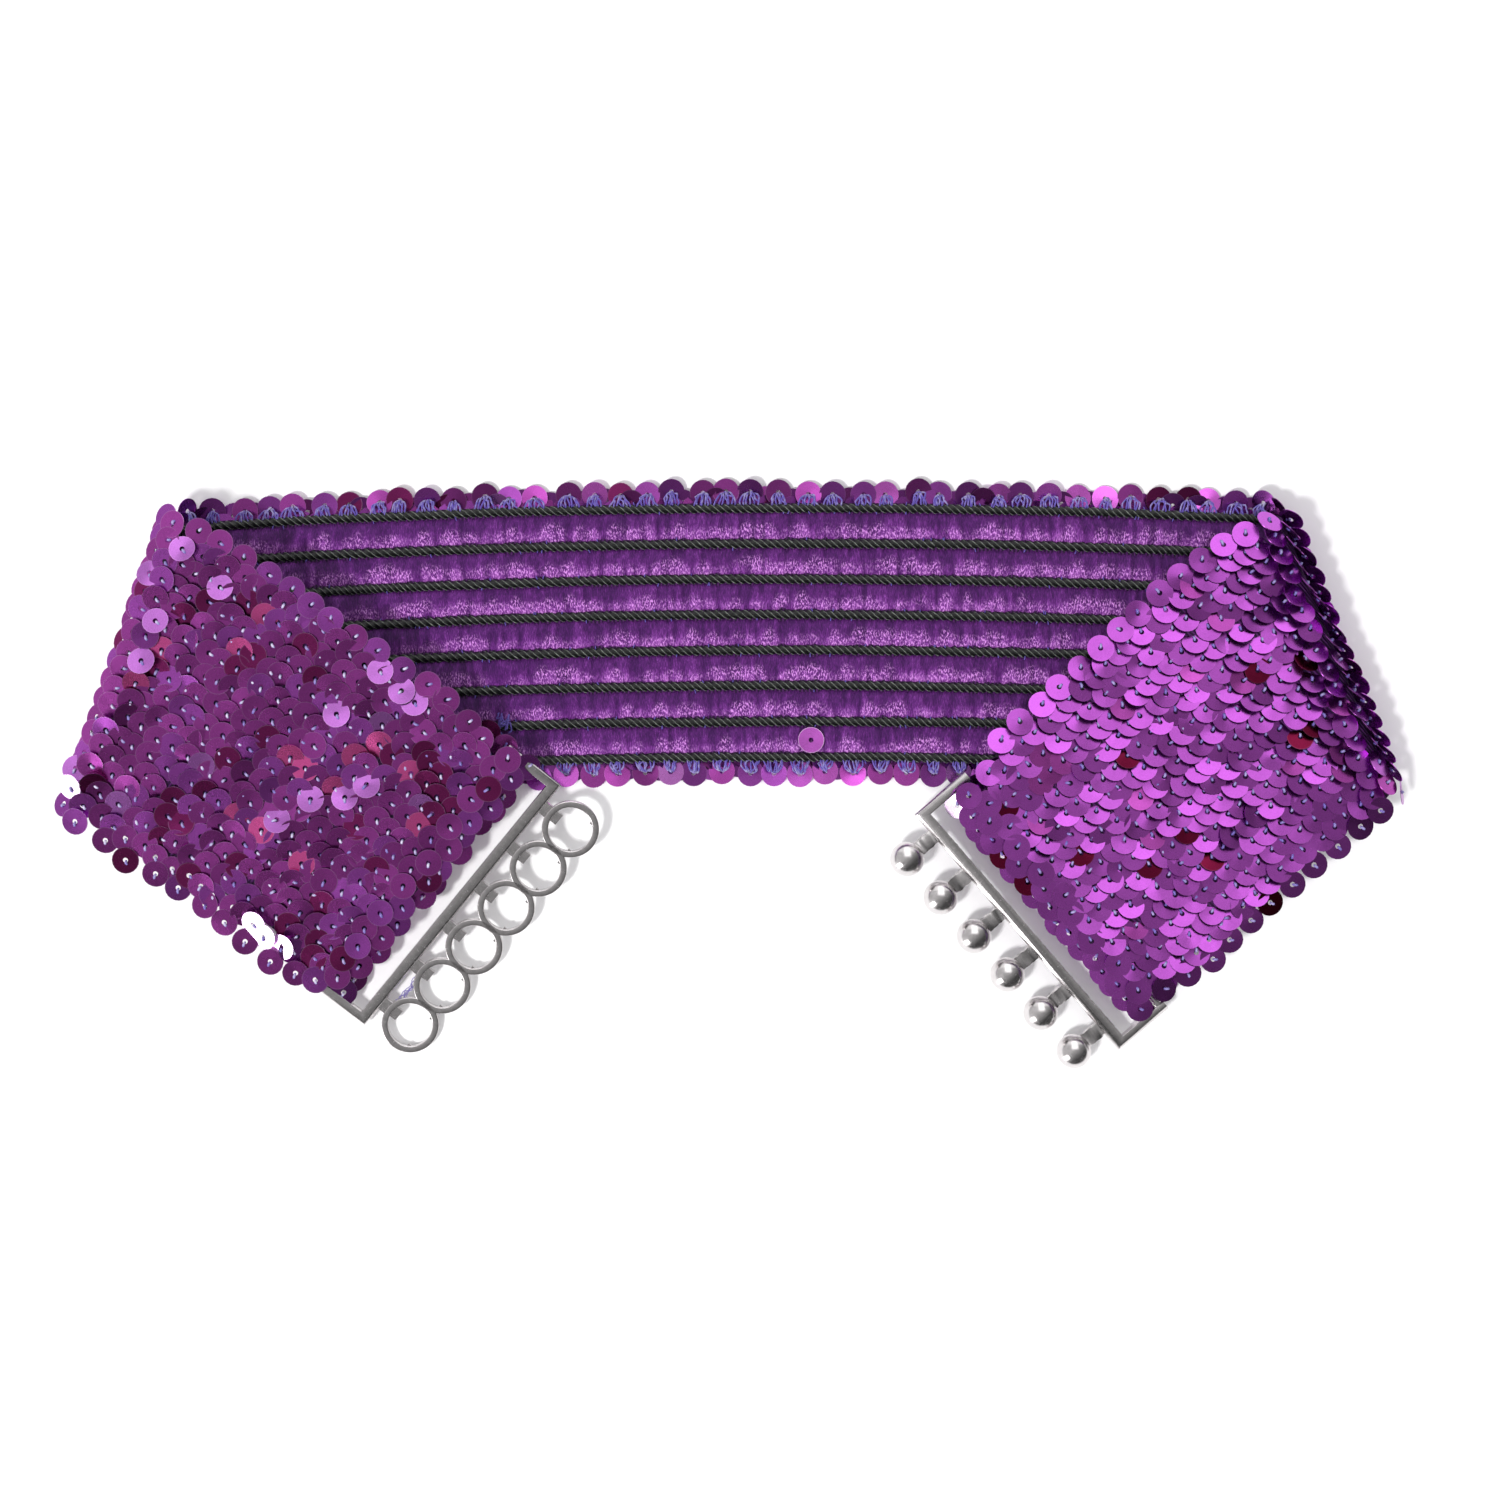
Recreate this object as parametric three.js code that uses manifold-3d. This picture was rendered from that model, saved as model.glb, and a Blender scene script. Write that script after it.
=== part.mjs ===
// Elastic sequin belt with an open ball and ring clasp, lying on a flat surface.
// The back stretch lies sequins down, and both ends are rolled over slantwise, sequins up.
// Millimetres, +Z up. The origin is on the surface, under the middle of the belt's outline.
// A place on the band is s, along it from the ring half to the ball half, v, across it towards
// the upper edge of the back stretch, and w, through it from the sequin face to the woven back.

import * as THREE from 'three';
import { mergeVertices } from 'three/addons/utils/BufferGeometryUtils.js';
import Module from 'manifold-3d';

const DEGREE = Math.PI / 180;
const QUARTER_TURN = Math.PI / 2;

// Thickness of the band
const WEAVE = 1.5;
const SEQUIN_LAYER = 1.3;
const WALL = WEAVE + SEQUIN_LAYER;
const RIM_THICKNESS = 1.0;

// Elastic cords, raised on the woven back, with a row of chenille between each two
const CORD_COUNT = 8;
const CORD_PITCH = 8.43;
const CORD_FOOT = 1.1;
const CORD_CREST = 0.55;
const CORD_RISE = 0.6;
const CHENILLE_RISE = 0.3;

// Half widths of the woven part, and of the outermost sequins on the back and in the loops
const WEAVE_HALF_WIDTH = 31.2;
const BACK_HALF_WIDTH = 35.2;
const LOOP_HALF_WIDTH = 33.4;
const FACE_LINES = [-30.6, -18, -6, 6, 18, 30.6];

// Back stretch: a shallow bow, straight past the places from and to
const BOW = { crownX: 16.1, crownY: 33.8, radius: 2174, from: -135, to: 128 };

// Ends. foldAt: place of the fold along the band. foldAngle, turn, claspHeading: degrees from +X.
// roll: radius of the fold at mid width. rollTaper: what it gains per millimetre of v.
// reach: fold to inner bar. barLow, barHigh: heights of the inner bar's axis at the loop's edges.
const ENDS = {
  left: {
    side: -1,
    foldAt: -161.5,
    foldAngle: 70,
    roll: 5.5,
    rollTaper: 0.05,
    turn: 7.2,
    shiftX: 1.1,
    shiftY: 1.5,
    reach: 86.9,
    claspHeading: -39.5,
    barLow: 4.95,
    barHigh: 8.95,
  },
  right: {
    side: 1,
    foldAt: 128.3,
    foldAngle: 112.3,
    roll: 4.9,
    rollTaper: 0.02,
    turn: -4.7,
    shiftX: -2.5,
    shiftY: 2.6,
    reach: 88.3,
    claspHeading: 221,
    barLow: 4.95,
    barHigh: 7.35,
  },
};

// Length along the band, from the start of a roll, over which its end turns and shifts in plan
const TURN_LENGTH = 45;

// Loop of the band round a clasp's inner bar, and the end that comes back under the flap
const LOOP_RADIUS = 3.5;
const RETURN_LENGTH = 15;
const RETURN_RISE = 2.5;

// Outermost sequins of a flap above and below its middle: where the roll ends, and at distances
// before the inner bar, up to the last, which clears the clasp's arms
const FLAP_EDGES = {
  left: [
    { beforeBar: null, above: 38, below: 34.6 },
    { beforeBar: 48, above: 38.4, below: 37 },
    { beforeBar: 12, above: 38.4, below: 39 },
    { beforeBar: 6, above: LOOP_HALF_WIDTH, below: LOOP_HALF_WIDTH },
  ],
  right: [
    { beforeBar: null, above: 38, below: 33 },
    { beforeBar: 48, above: 38.4, below: 34.8 },
    { beforeBar: 12, above: 38.4, below: 37 },
    { beforeBar: 6, above: LOOP_HALF_WIDTH, below: LOOP_HALF_WIDTH },
  ],
};

// Steps along each stretch of the band
const STEPS = { back: 12, roll: 9, flap: [3, 4, 1, 1], loop: 8, return: 3 };

// Clasp halves: x from the inner bar's axis outwards, y along the bar
const CLASP_LENGTH = 73.8;
const INNER_BAR_RADIUS = 1.1;
const OUTER_BAR_AT = 12.5;
const ARM_WIDTH = 2.3;
const ARM_PAST_BAR = 1.4;
const FASTENER_COUNT = 6;
const FASTENER_PITCH = 12.05;
const FASTENER_AT = 22.1;
const FLOOR_GAP = 0.12;

const RING_HALF = { bar: 2.7, height: 2.2, chamfer: 0.25 };
const RING = { inner: 5.2, outer: 6.75, height: 1.9, chamfer: 0.25, sides: 28 };
const RING_NECK = { width: 3.3, height: 1.5 };
const RING_CATCH = { width: 2.7, depth: 1.3, low: -0.85, high: 0.25, root: 0.5 };

const BALL_HALF = { bar: 3.0, height: 2.4, chamfer: 0.55 };
const BALL = { radius: 3.95, sides: 20, rings: 13 };
const BALL_NECK = { width: 3.6, top: 0.1, bottom: -1.3 };

const clamp = THREE.MathUtils.clamp;
const lerp = THREE.MathUtils.lerp;

function smooth(share) {
  const t = clamp(share, 0, 1);
  return t * t * (3 - 2 * t);
}

// Band surface

function bowHeading(s) {
  return -clamp(s, BOW.from, BOW.to) / BOW.radius;
}

// The band before its ends are rolled over
function flatPoint(s, v) {
  const onBow = clamp(s, BOW.from, BOW.to);
  const heading = bowHeading(s);
  const along = s - onBow;
  const x = BOW.crownX + BOW.radius * Math.sin(onBow / BOW.radius);
  const y = BOW.crownY - BOW.radius * (1 - Math.cos(onBow / BOW.radius));
  return new THREE.Vector2(
    x + along * Math.cos(heading) - v * Math.sin(heading),
    y + along * Math.sin(heading) + v * Math.cos(heading),
  );
}

// What follows from an end's sizes
function endFrame(end) {
  const stripHeading = bowHeading(end.foldAt) + (end.side < 0 ? Math.PI : 0);
  const fold = end.foldAngle * DEGREE;
  const turn = end.turn * DEGREE;
  const flapHeading = 2 * fold - stripHeading + turn;
  const claspHeading = end.claspHeading * DEGREE;
  const along = new THREE.Vector2(Math.cos(fold), Math.sin(fold));
  const outward = new THREE.Vector2(Math.sin(fold), -Math.cos(fold)).multiplyScalar(end.side);
  const centre = flatPoint(end.foldAt, 0);
  const shift = new THREE.Vector2(end.shiftX, end.shiftY);
  const reach = new THREE.Vector2(end.reach, 0).rotateAround(new THREE.Vector2(), flapHeading);
  const bar = centre.clone().add(shift).add(reach);
  const barOut = new THREE.Vector2(Math.cos(claspHeading), Math.sin(claspHeading));
  const barUp = barOut.clone().rotateAround(new THREE.Vector2(), -end.side * QUARTER_TURN);
  const slant = fold - bowHeading(end.foldAt);
  const skew = Math.tan(claspHeading - flapHeading);
  return { ...end, along, outward, centre, turn, shift, bar, barOut, barUp, slant, skew };
}

const LEFT = endFrame({ ...ENDS.left, edges: FLAP_EDGES.left });
const RIGHT = endFrame({ ...ENDS.right, edges: FLAP_EDGES.right });

function rollRadius(end, v) {
  return end.roll + end.rollTaper * v;
}

function barHeight(end, across) {
  const share = (across + LOOP_HALF_WIDTH) / (2 * LOOP_HALF_WIDTH);
  return lerp(end.barLow, end.barHigh, share);
}

// Slanted lines across the band, each s = at + slope * v

function foldLine(end, roundRoll) {
  const half = (end.side * roundRoll * QUARTER_TURN) / Math.sin(end.slant);
  return { at: end.foldAt + half * end.roll, slope: 1 / Math.tan(end.slant) + half * end.rollTaper };
}

function barLine(end, past) {
  const reach = end.reach + past * Math.hypot(1, end.skew);
  return { at: end.foldAt + end.side * reach, slope: end.skew };
}

function cutLine(end) {
  const { at } = barLine(end, Math.PI * LOOP_RADIUS + RETURN_LENGTH);
  return { at, slope: 0 };
}

function onLine(line, v) {
  return line.at + line.slope * v;
}

// A point halfway through the band's thickness
function bandPoint(s, v) {
  const end = s < 0 ? LEFT : RIGHT;
  const from = flatPoint(s, v).sub(end.centre);
  const past = from.dot(end.outward);
  const radius = rollRadius(end, v);
  const angle = clamp((past + QUARTER_TURN * radius) / radius, 0, Math.PI);
  let across = past;
  if (angle >= Math.PI) across = -past;
  else if (angle > 0) across = radius * (Math.sin(angle) - QUARTER_TURN);
  const turned = smooth((past + QUARTER_TURN * radius) / TURN_LENGTH);
  const place = end.along.clone().multiplyScalar(from.dot(end.along));
  place.addScaledVector(end.outward, across);
  place.rotateAround(new THREE.Vector2(), end.turn * turned);
  place.add(end.centre).addScaledVector(end.shift, turned);
  let z = WALL / 2 + radius * (1 - Math.cos(angle));
  if (angle < Math.PI) return new THREE.Vector3(place.x, place.y, z);

  const fromBar = place.clone().sub(end.bar);
  const acrossBar = fromBar.dot(end.barUp);
  const pastBar = fromBar.dot(end.barOut);
  const rollEnd = onLine(foldLine(end, 1), v);
  const flapShare = (s - rollEnd) / (onLine(barLine(end, 0), v) - rollEnd);
  const barZ = barHeight(end, acrossBar);
  z = lerp(z, barZ + LOOP_RADIUS, smooth(flapShare));
  if (pastBar <= 0) return new THREE.Vector3(place.x, place.y, z);

  const wrap = Math.min(pastBar / LOOP_RADIUS, Math.PI);
  const returned = Math.max(pastBar - Math.PI * LOOP_RADIUS, 0);
  z = barZ + LOOP_RADIUS * Math.cos(wrap) + RETURN_RISE * smooth(returned / RETURN_LENGTH);
  place.copy(end.bar).addScaledVector(end.barUp, acrossBar);
  place.addScaledVector(end.barOut, LOOP_RADIUS * Math.sin(wrap) - returned);
  return new THREE.Vector3(place.x, place.y, z);
}

// The same point moved through the thickness, from the sequin face at w = 0 to the back
function wallPoint(s, v, w) {
  const step = 0.02;
  const point = bandPoint(s, v);
  const alongBand = bandPoint(s + step, v).sub(bandPoint(s - step, v));
  const acrossBand = bandPoint(s, v + step).sub(bandPoint(s, v - step));
  const normal = alongBand.cross(acrossBand).normalize();
  return point.addScaledVector(normal, w - WALL / 2);
}

// Band solid

// Outline of the band cut across: sequin face, upper rim, ridged back, lower rim
function bandSection({ above, below }) {
  const section = FACE_LINES.map((v) => ({ v, w: 0 }));
  section.unshift({ v: -below, w: 0 });
  section.push({ v: above, w: 0 });
  section.push({ v: above, w: RIM_THICKNESS });
  section.push({ v: WEAVE_HALF_WIDTH, w: RIM_THICKNESS });
  section.push({ v: WEAVE_HALF_WIDTH, w: WALL });
  for (let cord = CORD_COUNT - 1; cord >= 0; cord -= 1) {
    const middle = (cord - (CORD_COUNT - 1) / 2) * CORD_PITCH;
    section.push({ v: middle + CORD_FOOT, w: WALL });
    section.push({ v: middle + CORD_CREST, w: WALL + CORD_RISE });
    section.push({ v: middle - CORD_CREST, w: WALL + CORD_RISE });
    section.push({ v: middle - CORD_FOOT, w: WALL });
    if (cord > 0) section.push({ v: middle - CORD_PITCH / 2, w: WALL + CHENILLE_RISE });
  }
  section.push({ v: -WEAVE_HALF_WIDTH, w: WALL });
  section.push({ v: -WEAVE_HALF_WIDTH, w: RIM_THICKNESS });
  section.push({ v: -below, w: RIM_THICKNESS });
  return section;
}

// Lines across an end from its fold to its cut edge: how far the sequins reach above and below
// the band's middle on each, and the steps to the next
function endLines(end) {
  const back = { above: BACK_HALF_WIDTH, below: BACK_HALF_WIDTH };
  const loop = { above: LOOP_HALF_WIDTH, below: LOOP_HALF_WIDTH };
  const flap = end.edges.map(({ beforeBar, above, below }, i) => {
    const line = beforeBar === null ? foldLine(end, 1) : barLine(end, -beforeBar);
    return { ...line, above, below, steps: STEPS.flap[i] };
  });
  return [
    { ...foldLine(end, -1), ...back, steps: STEPS.roll },
    ...flap,
    { ...barLine(end, 0), ...loop, steps: STEPS.loop },
    { ...barLine(end, Math.PI * LOOP_RADIUS), ...loop, steps: STEPS.return },
    { ...cutLine(end), ...loop, steps: 0 },
  ];
}

function linesBetween(from, to, steps) {
  const lines = [];
  for (let i = 1; i < steps; i += 1) {
    const between = (column) => lerp(from[column], to[column], i / steps);
    lines.push({
      at: between('at'),
      slope: between('slope'),
      above: between('above'),
      below: between('below'),
    });
  }
  return lines;
}

// Every line across the band, from the cut edge at the rings to the one at the balls
function bandStations() {
  const [leftLines, rightLines] = [LEFT, RIGHT].map((end) => {
    const keys = endLines(end);
    return keys.flatMap((key, k) => [key, ...linesBetween(key, keys[k + 1], key.steps)]);
  });
  const back = linesBetween(leftLines[0], rightLines[0], STEPS.back);
  return [...leftLines.reverse(), ...back, ...rightLines];
}

function bandGeometry() {
  const stations = bandStations();
  const positions = [];
  for (const station of stations) {
    for (const { v, w } of bandSection(station)) {
      positions.push(...wallPoint(onLine(station, v), v, w).toArray());
    }
  }
  const cut = bandSection(stations[0]);
  const count = cut.length;
  const faces = [];
  for (let i = 0; i + 1 < stations.length; i += 1) {
    for (let j = 0; j < count; j += 1) {
      const here = i * count + j;
      const beside = i * count + ((j + 1) % count);
      faces.push(here, here + count, beside);
      faces.push(beside, here + count, beside + count);
    }
  }
  const outline = cut.map(({ v, w }) => new THREE.Vector2(v, w));
  const lastStation = (stations.length - 1) * count;
  for (const [a, b, c] of THREE.ShapeUtils.triangulateShape(outline, [])) {
    faces.push(a, b, c);
    faces.push(lastStation + a, lastStation + c, lastStation + b);
  }
  return closedGeometry(new Float32Array(positions), faces);
}

// Solids

// A closed geometry whose faces point out
function closedGeometry(positions, faces) {
  const corner = (index) => new THREE.Vector3().fromArray(positions, 3 * index);
  let volume = 0;
  for (let f = 0; f < faces.length; f += 3) {
    volume += corner(faces[f]).dot(corner(faces[f + 1]).cross(corner(faces[f + 2])));
  }
  const index = [];
  for (let f = 0; f < faces.length; f += 3) {
    if (volume > 0) index.push(faces[f], faces[f + 1], faces[f + 2]);
    else index.push(faces[f], faces[f + 2], faces[f + 1]);
  }
  const geometry = new THREE.BufferGeometry();
  geometry.setAttribute('position', new THREE.BufferAttribute(positions, 3));
  geometry.setIndex(index);
  geometry.computeVertexNormals();
  return geometry;
}

const wasm = await Module();
wasm.setup();

function solidOf(geometry) {
  const bare = geometry.clone();
  bare.deleteAttribute('normal');
  bare.deleteAttribute('uv');
  const merged = mergeVertices(bare);
  const closed = closedGeometry(merged.attributes.position.array, [...merged.index.array]);
  return new wasm.Manifold(
    new wasm.Mesh({
      numProp: 3,
      vertProperties: closed.attributes.position.array,
      triVerts: Uint32Array.from(closed.index.array),
    }),
  );
}

function joined(geometries) {
  const solid = geometries.map(solidOf).reduce((whole, piece) => whole.add(piece));
  const mesh = solid.getMesh();
  return closedGeometry(new Float32Array(mesh.vertProperties), [...mesh.triVerts]);
}

// Clasp halves

// A box from low to high corner, each [x, y, z]
function block(low, high) {
  const size = high.map((value, axis) => value - low[axis]);
  const middle = high.map((value, axis) => (value + low[axis]) / 2);
  return new THREE.BoxGeometry(...size).translate(...middle);
}

// Outer bar and arms of one half, open towards the band, with chamfered edges
function frameGeometry({ bar, height, chamfer }) {
  const outside = OUTER_BAR_AT + bar / 2;
  const inside = OUTER_BAR_AT - bar / 2;
  const half = CLASP_LENGTH / 2;
  const shape = new THREE.Shape([
    new THREE.Vector2(-ARM_PAST_BAR, -half),
    new THREE.Vector2(outside, -half),
    new THREE.Vector2(outside, half),
    new THREE.Vector2(-ARM_PAST_BAR, half),
    new THREE.Vector2(-ARM_PAST_BAR, half - ARM_WIDTH),
    new THREE.Vector2(inside, half - ARM_WIDTH),
    new THREE.Vector2(inside, -half + ARM_WIDTH),
    new THREE.Vector2(-ARM_PAST_BAR, -half + ARM_WIDTH),
  ]);
  const frame = new THREE.ExtrudeGeometry(shape, {
    depth: height - 2 * chamfer,
    bevelThickness: chamfer,
    bevelSize: chamfer,
    bevelOffset: -chamfer,
    bevelSegments: 1,
  });
  return frame.translate(0, 0, chamfer - height / 2);
}

function innerBarGeometry() {
  const length = CLASP_LENGTH - ARM_WIDTH;
  return new THREE.CylinderGeometry(INNER_BAR_RADIUS, INNER_BAR_RADIUS, length, 12);
}

function fastenerPlaces() {
  const places = [];
  for (let i = 0; i < FASTENER_COUNT; i += 1) {
    places.push((i - (FASTENER_COUNT - 1) / 2) * FASTENER_PITCH);
  }
  return places;
}

function ringGeometry(y) {
  const { inner, outer, height, chamfer, sides } = RING;
  const top = height / 2;
  const profile = [
    new THREE.Vector2(inner, -top),
    new THREE.Vector2(outer, -top),
    new THREE.Vector2(outer, top - chamfer),
    new THREE.Vector2(outer - chamfer, top),
    new THREE.Vector2(inner + chamfer, top),
    new THREE.Vector2(inner, top - chamfer),
    new THREE.Vector2(inner, -top),
  ];
  const ring = new THREE.LatheGeometry(profile, sides);
  return ring.rotateX(QUARTER_TURN).translate(FASTENER_AT, y, 0);
}

// Ring half: neck from the outer bar to each ring, and the catch inside the ring
function ringHalfGeometry() {
  const pieces = [frameGeometry(RING_HALF), innerBarGeometry()];
  const ringMiddle = (RING.inner + RING.outer) / 2;
  const catchAt = FASTENER_AT - RING.inner;
  for (const y of fastenerPlaces()) {
    const neckHalf = RING_NECK.width / 2;
    const catchHalf = RING_CATCH.width / 2;
    pieces.push(ringGeometry(y));
    pieces.push(
      block(
        [OUTER_BAR_AT, y - neckHalf, -RING_NECK.height / 2],
        [FASTENER_AT - ringMiddle, y + neckHalf, RING_NECK.height / 2],
      ),
    );
    pieces.push(
      block(
        [catchAt - RING_CATCH.root, y - catchHalf, RING_CATCH.low],
        [catchAt + RING_CATCH.depth, y + catchHalf, RING_CATCH.high],
      ),
    );
  }
  return joined(pieces);
}

// Ball half: a low neck from the outer bar into each ball
function ballHalfGeometry() {
  const pieces = [frameGeometry(BALL_HALF), innerBarGeometry()];
  for (const y of fastenerPlaces()) {
    const neckHalf = BALL_NECK.width / 2;
    const ball = new THREE.SphereGeometry(BALL.radius, BALL.sides, BALL.rings);
    pieces.push(ball.rotateX(QUARTER_TURN).translate(FASTENER_AT, y, 0));
    pieces.push(
      block(
        [OUTER_BAR_AT, y - neckHalf, BALL_NECK.bottom],
        [FASTENER_AT, y + neckHalf, BALL_NECK.top],
      ),
    );
  }
  return joined(pieces);
}

// A clasp half on its inner bar: the bar rises to its upper end, and the half slopes down
// until its lowest fastener, which reaches below and outwards as given, lies on the surface
function placeClasp(mesh, end, reachBelow, reachOut) {
  const lowest = (-(FASTENER_COUNT - 1) / 2) * FASTENER_PITCH;
  const rise = (end.barHigh - end.barLow) / (2 * LOOP_HALF_WIDTH);
  const drop = barHeight(end, lowest) - reachBelow - FLOOR_GAP;
  mesh.position.set(end.bar.x, end.bar.y, barHeight(end, 0));
  mesh.rotation.order = 'ZXY';
  mesh.rotation.set(
    -end.side * Math.atan(rise),
    Math.asin(drop / reachOut),
    end.claspHeading * DEGREE,
  );
}

// Materials and meshes

const sequinCloth = new THREE.MeshStandardMaterial({
  color: 0x6a1c7c,
  roughness: 0.42,
  metalness: 0.25,
});

const nickel = new THREE.MeshStandardMaterial({
  color: 0xb4b0ae,
  roughness: 0.28,
  metalness: 1.0,
});

const band = new THREE.Mesh(bandGeometry(), sequinCloth);
band.name = 'band';

const claspRings = new THREE.Mesh(ringHalfGeometry(), nickel);
claspRings.name = 'clasp_rings';
placeClasp(claspRings, LEFT, RING.height / 2, FASTENER_AT + RING.outer);

const claspBalls = new THREE.Mesh(ballHalfGeometry(), nickel.clone());
claspBalls.name = 'clasp_balls';
placeClasp(claspBalls, RIGHT, BALL.radius, FASTENER_AT);

const belt = new THREE.Group();
belt.add(band, claspRings, claspBalls);

export default belt;
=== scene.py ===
import math
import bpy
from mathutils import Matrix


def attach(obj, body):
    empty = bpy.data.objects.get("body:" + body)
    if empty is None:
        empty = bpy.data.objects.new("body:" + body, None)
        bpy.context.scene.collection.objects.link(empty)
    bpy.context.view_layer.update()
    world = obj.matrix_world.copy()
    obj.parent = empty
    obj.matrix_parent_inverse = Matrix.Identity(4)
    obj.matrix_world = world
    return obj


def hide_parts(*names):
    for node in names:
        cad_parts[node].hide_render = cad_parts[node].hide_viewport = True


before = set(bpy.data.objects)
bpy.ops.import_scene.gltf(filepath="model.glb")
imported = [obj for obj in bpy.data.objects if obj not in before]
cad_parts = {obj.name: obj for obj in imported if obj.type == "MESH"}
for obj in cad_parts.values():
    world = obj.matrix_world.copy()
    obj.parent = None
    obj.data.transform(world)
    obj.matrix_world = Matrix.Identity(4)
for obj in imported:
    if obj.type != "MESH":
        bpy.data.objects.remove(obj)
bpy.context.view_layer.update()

from types import SimpleNamespace

import bpy
import numpy as np
from mathutils import Matrix, Vector

# Camera, straight above the belt, a little to the right of its middle. The frame is square and
# takes in 357 mm of the surface; the upper edge of the picture is the far side, +Y.
CAMERA_HEIGHT = 0.480
VIEW_WIDTH = 0.35714
SENSOR = 36.0


def new_object(name, data):
    thing = bpy.data.objects.new(name, data)
    bpy.context.scene.collection.objects.link(thing)
    return thing


camera = new_object("camera", bpy.data.cameras.new("camera"))
camera.data.sensor_width = SENSOR
camera.data.lens = SENSOR * CAMERA_HEIGHT / VIEW_WIDTH
camera.data.clip_start = 0.01
camera.location = (0.00418, 0.00595, CAMERA_HEIGHT)
bpy.context.scene.camera = camera

# White table, and the studio light round it: a lamp high on the left, which throws the shadows,
# and an even pale room. What gloss reflects is a dark ceiling, a pale wall on the far side and a
# bright soft box low on the near left.
TABLE_WIDTH = 6.0


def set_inputs(tree, node, inputs):
    """Fill a shader node's inputs with numbers and colours, or link them to other outputs."""
    for name, value in inputs.items():
        if isinstance(value, bpy.types.NodeSocket):
            tree.links.new(value, node.inputs[name])
        else:
            node.inputs[name].default_value = value


def new_material(name, color, roughness, metallic=0.0):
    material = bpy.data.materials.new(name)
    material.use_nodes = True
    material.diffuse_color = (*color, 1.0)
    tree = material.node_tree
    shader = tree.nodes["Principled BSDF"]
    plain = {"Base Color": (*color, 1.0), "Roughness": roughness, "Metallic": metallic}
    set_inputs(tree, shader, plain)
    return material, tree, shader


table_white, _, _ = new_material("table_white", (0.93, 0.93, 0.935), 0.7)
half = TABLE_WIDTH / 2
table_mesh = bpy.data.meshes.new("table")
table_mesh.from_pydata(
    [(-half, -half, 0), (half, -half, 0), (half, half, 0), (-half, half, 0)], [], [(0, 1, 2, 3)]
)
table_mesh.materials.append(table_white)
table = new_object("table", table_mesh)

LAMP_PLACE, LAMP_SIDE, LAMP_WATTS = (-0.66, -0.52, 1.30), 0.20, 17.0

lamp = bpy.data.lights.new("side_lamp", "AREA")
lamp.shape, lamp.size, lamp.size_y = "RECTANGLE", LAMP_SIDE, LAMP_SIDE
lamp.energy, lamp.color = LAMP_WATTS, (1.0, 0.99, 0.985)
side_lamp = new_object("side_lamp", lamp)
side_lamp.location = LAMP_PLACE
side_lamp.rotation_euler = (-Vector(LAMP_PLACE)).to_track_quat("-Z", "Y").to_euler()
side_lamp.visible_glossy = False

AMBIENT = 0.84
CEILING, FAR_WALL, SOFT_BOX = 0.37, 1.75, 5.0
BOX_RIGHT, BOX_FAR = -0.77, -0.64
CEILING_SLOPE, CEILING_DIMMEST, CEILING_BRIGHTEST = 0.6, 0.06, 0.62

room = bpy.data.worlds.new("room")
room.use_nodes = True
bpy.context.scene.world = room
tree = room.node_tree


def add_node(tree, kind, inputs, **settings):
    """A shader node with its settings and inputs; its outputs."""
    node = tree.nodes.new("ShaderNode" + kind)
    for name, value in settings.items():
        setattr(node, name, value)
    set_inputs(tree, node, inputs)
    return node.outputs


def maths(tree, operation, *values):
    return add_node(tree, "Math", dict(enumerate(values)), operation=operation)["Value"]


def step_up(tree, value, low, high):
    limits = {"Value": value, "From Min": low, "From Max": high}
    return add_node(tree, "MapRange", limits, interpolation_type="SMOOTHSTEP")["Result"]


# The slope of a surface that mirrors each direction straight up, so the room is laid out by slope
direction = add_node(tree, "TexCoord", {})["Generated"]
halfway = add_node(tree, "VectorMath", {0: direction, 1: (0.0, 0.0, 1.0)}, operation="ADD")
slope = add_node(tree, "VectorMath", {0: halfway["Vector"]}, operation="NORMALIZE")
parts = add_node(tree, "SeparateXYZ", {"Vector": slope["Vector"]})
right, far = parts["X"], parts["Y"]
wall_end = step_up(tree, maths(tree, "ABSOLUTE", right), 0.16, 0.24)
wall_middle = maths(
    tree, "MULTIPLY", maths(tree, "SUBTRACT", 1.0, wall_end), step_up(tree, far, 0.09, 0.24)
)
wall_sides = maths(tree, "MULTIPLY", 0.6, step_up(tree, far, 0.36, 0.46))
wall = maths(tree, "MAXIMUM", wall_middle, wall_sides)
near_left = maths(
    tree, "ADD", maths(tree, "MULTIPLY", right, BOX_RIGHT), maths(tree, "MULTIPLY", far, BOX_FAR)
)
sideways = maths(
    tree, "ADD", maths(tree, "MULTIPLY", right, -BOX_FAR), maths(tree, "MULTIPLY", far, BOX_RIGHT)
)
box_near = step_up(tree, near_left, 0.43, 0.47)
box_end = step_up(tree, maths(tree, "ABSOLUTE", sideways), 0.10, 0.14)
box = maths(tree, "MULTIPLY", box_near, maths(tree, "SUBTRACT", 1.0, box_end))
shade = maths(tree, "MULTIPLY", maths(tree, "SUBTRACT", far, right), CEILING_SLOPE)
mirrored = maths(tree, "ADD", CEILING, shade)
mirrored = maths(tree, "MAXIMUM", mirrored, CEILING_DIMMEST)
mirrored = maths(tree, "MINIMUM", mirrored, CEILING_BRIGHTEST)
mirrored = maths(tree, "MAXIMUM", mirrored, maths(tree, "MULTIPLY", wall, FAR_WALL))
mirrored = maths(tree, "MAXIMUM", mirrored, maths(tree, "MULTIPLY", box, SOFT_BOX))
glossy_ray = add_node(tree, "LightPath", {})["Is Glossy Ray"]
brightness = add_node(tree, "Mix", {"Factor": glossy_ray, "A": AMBIENT, "B": mirrored})["Result"]
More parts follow.
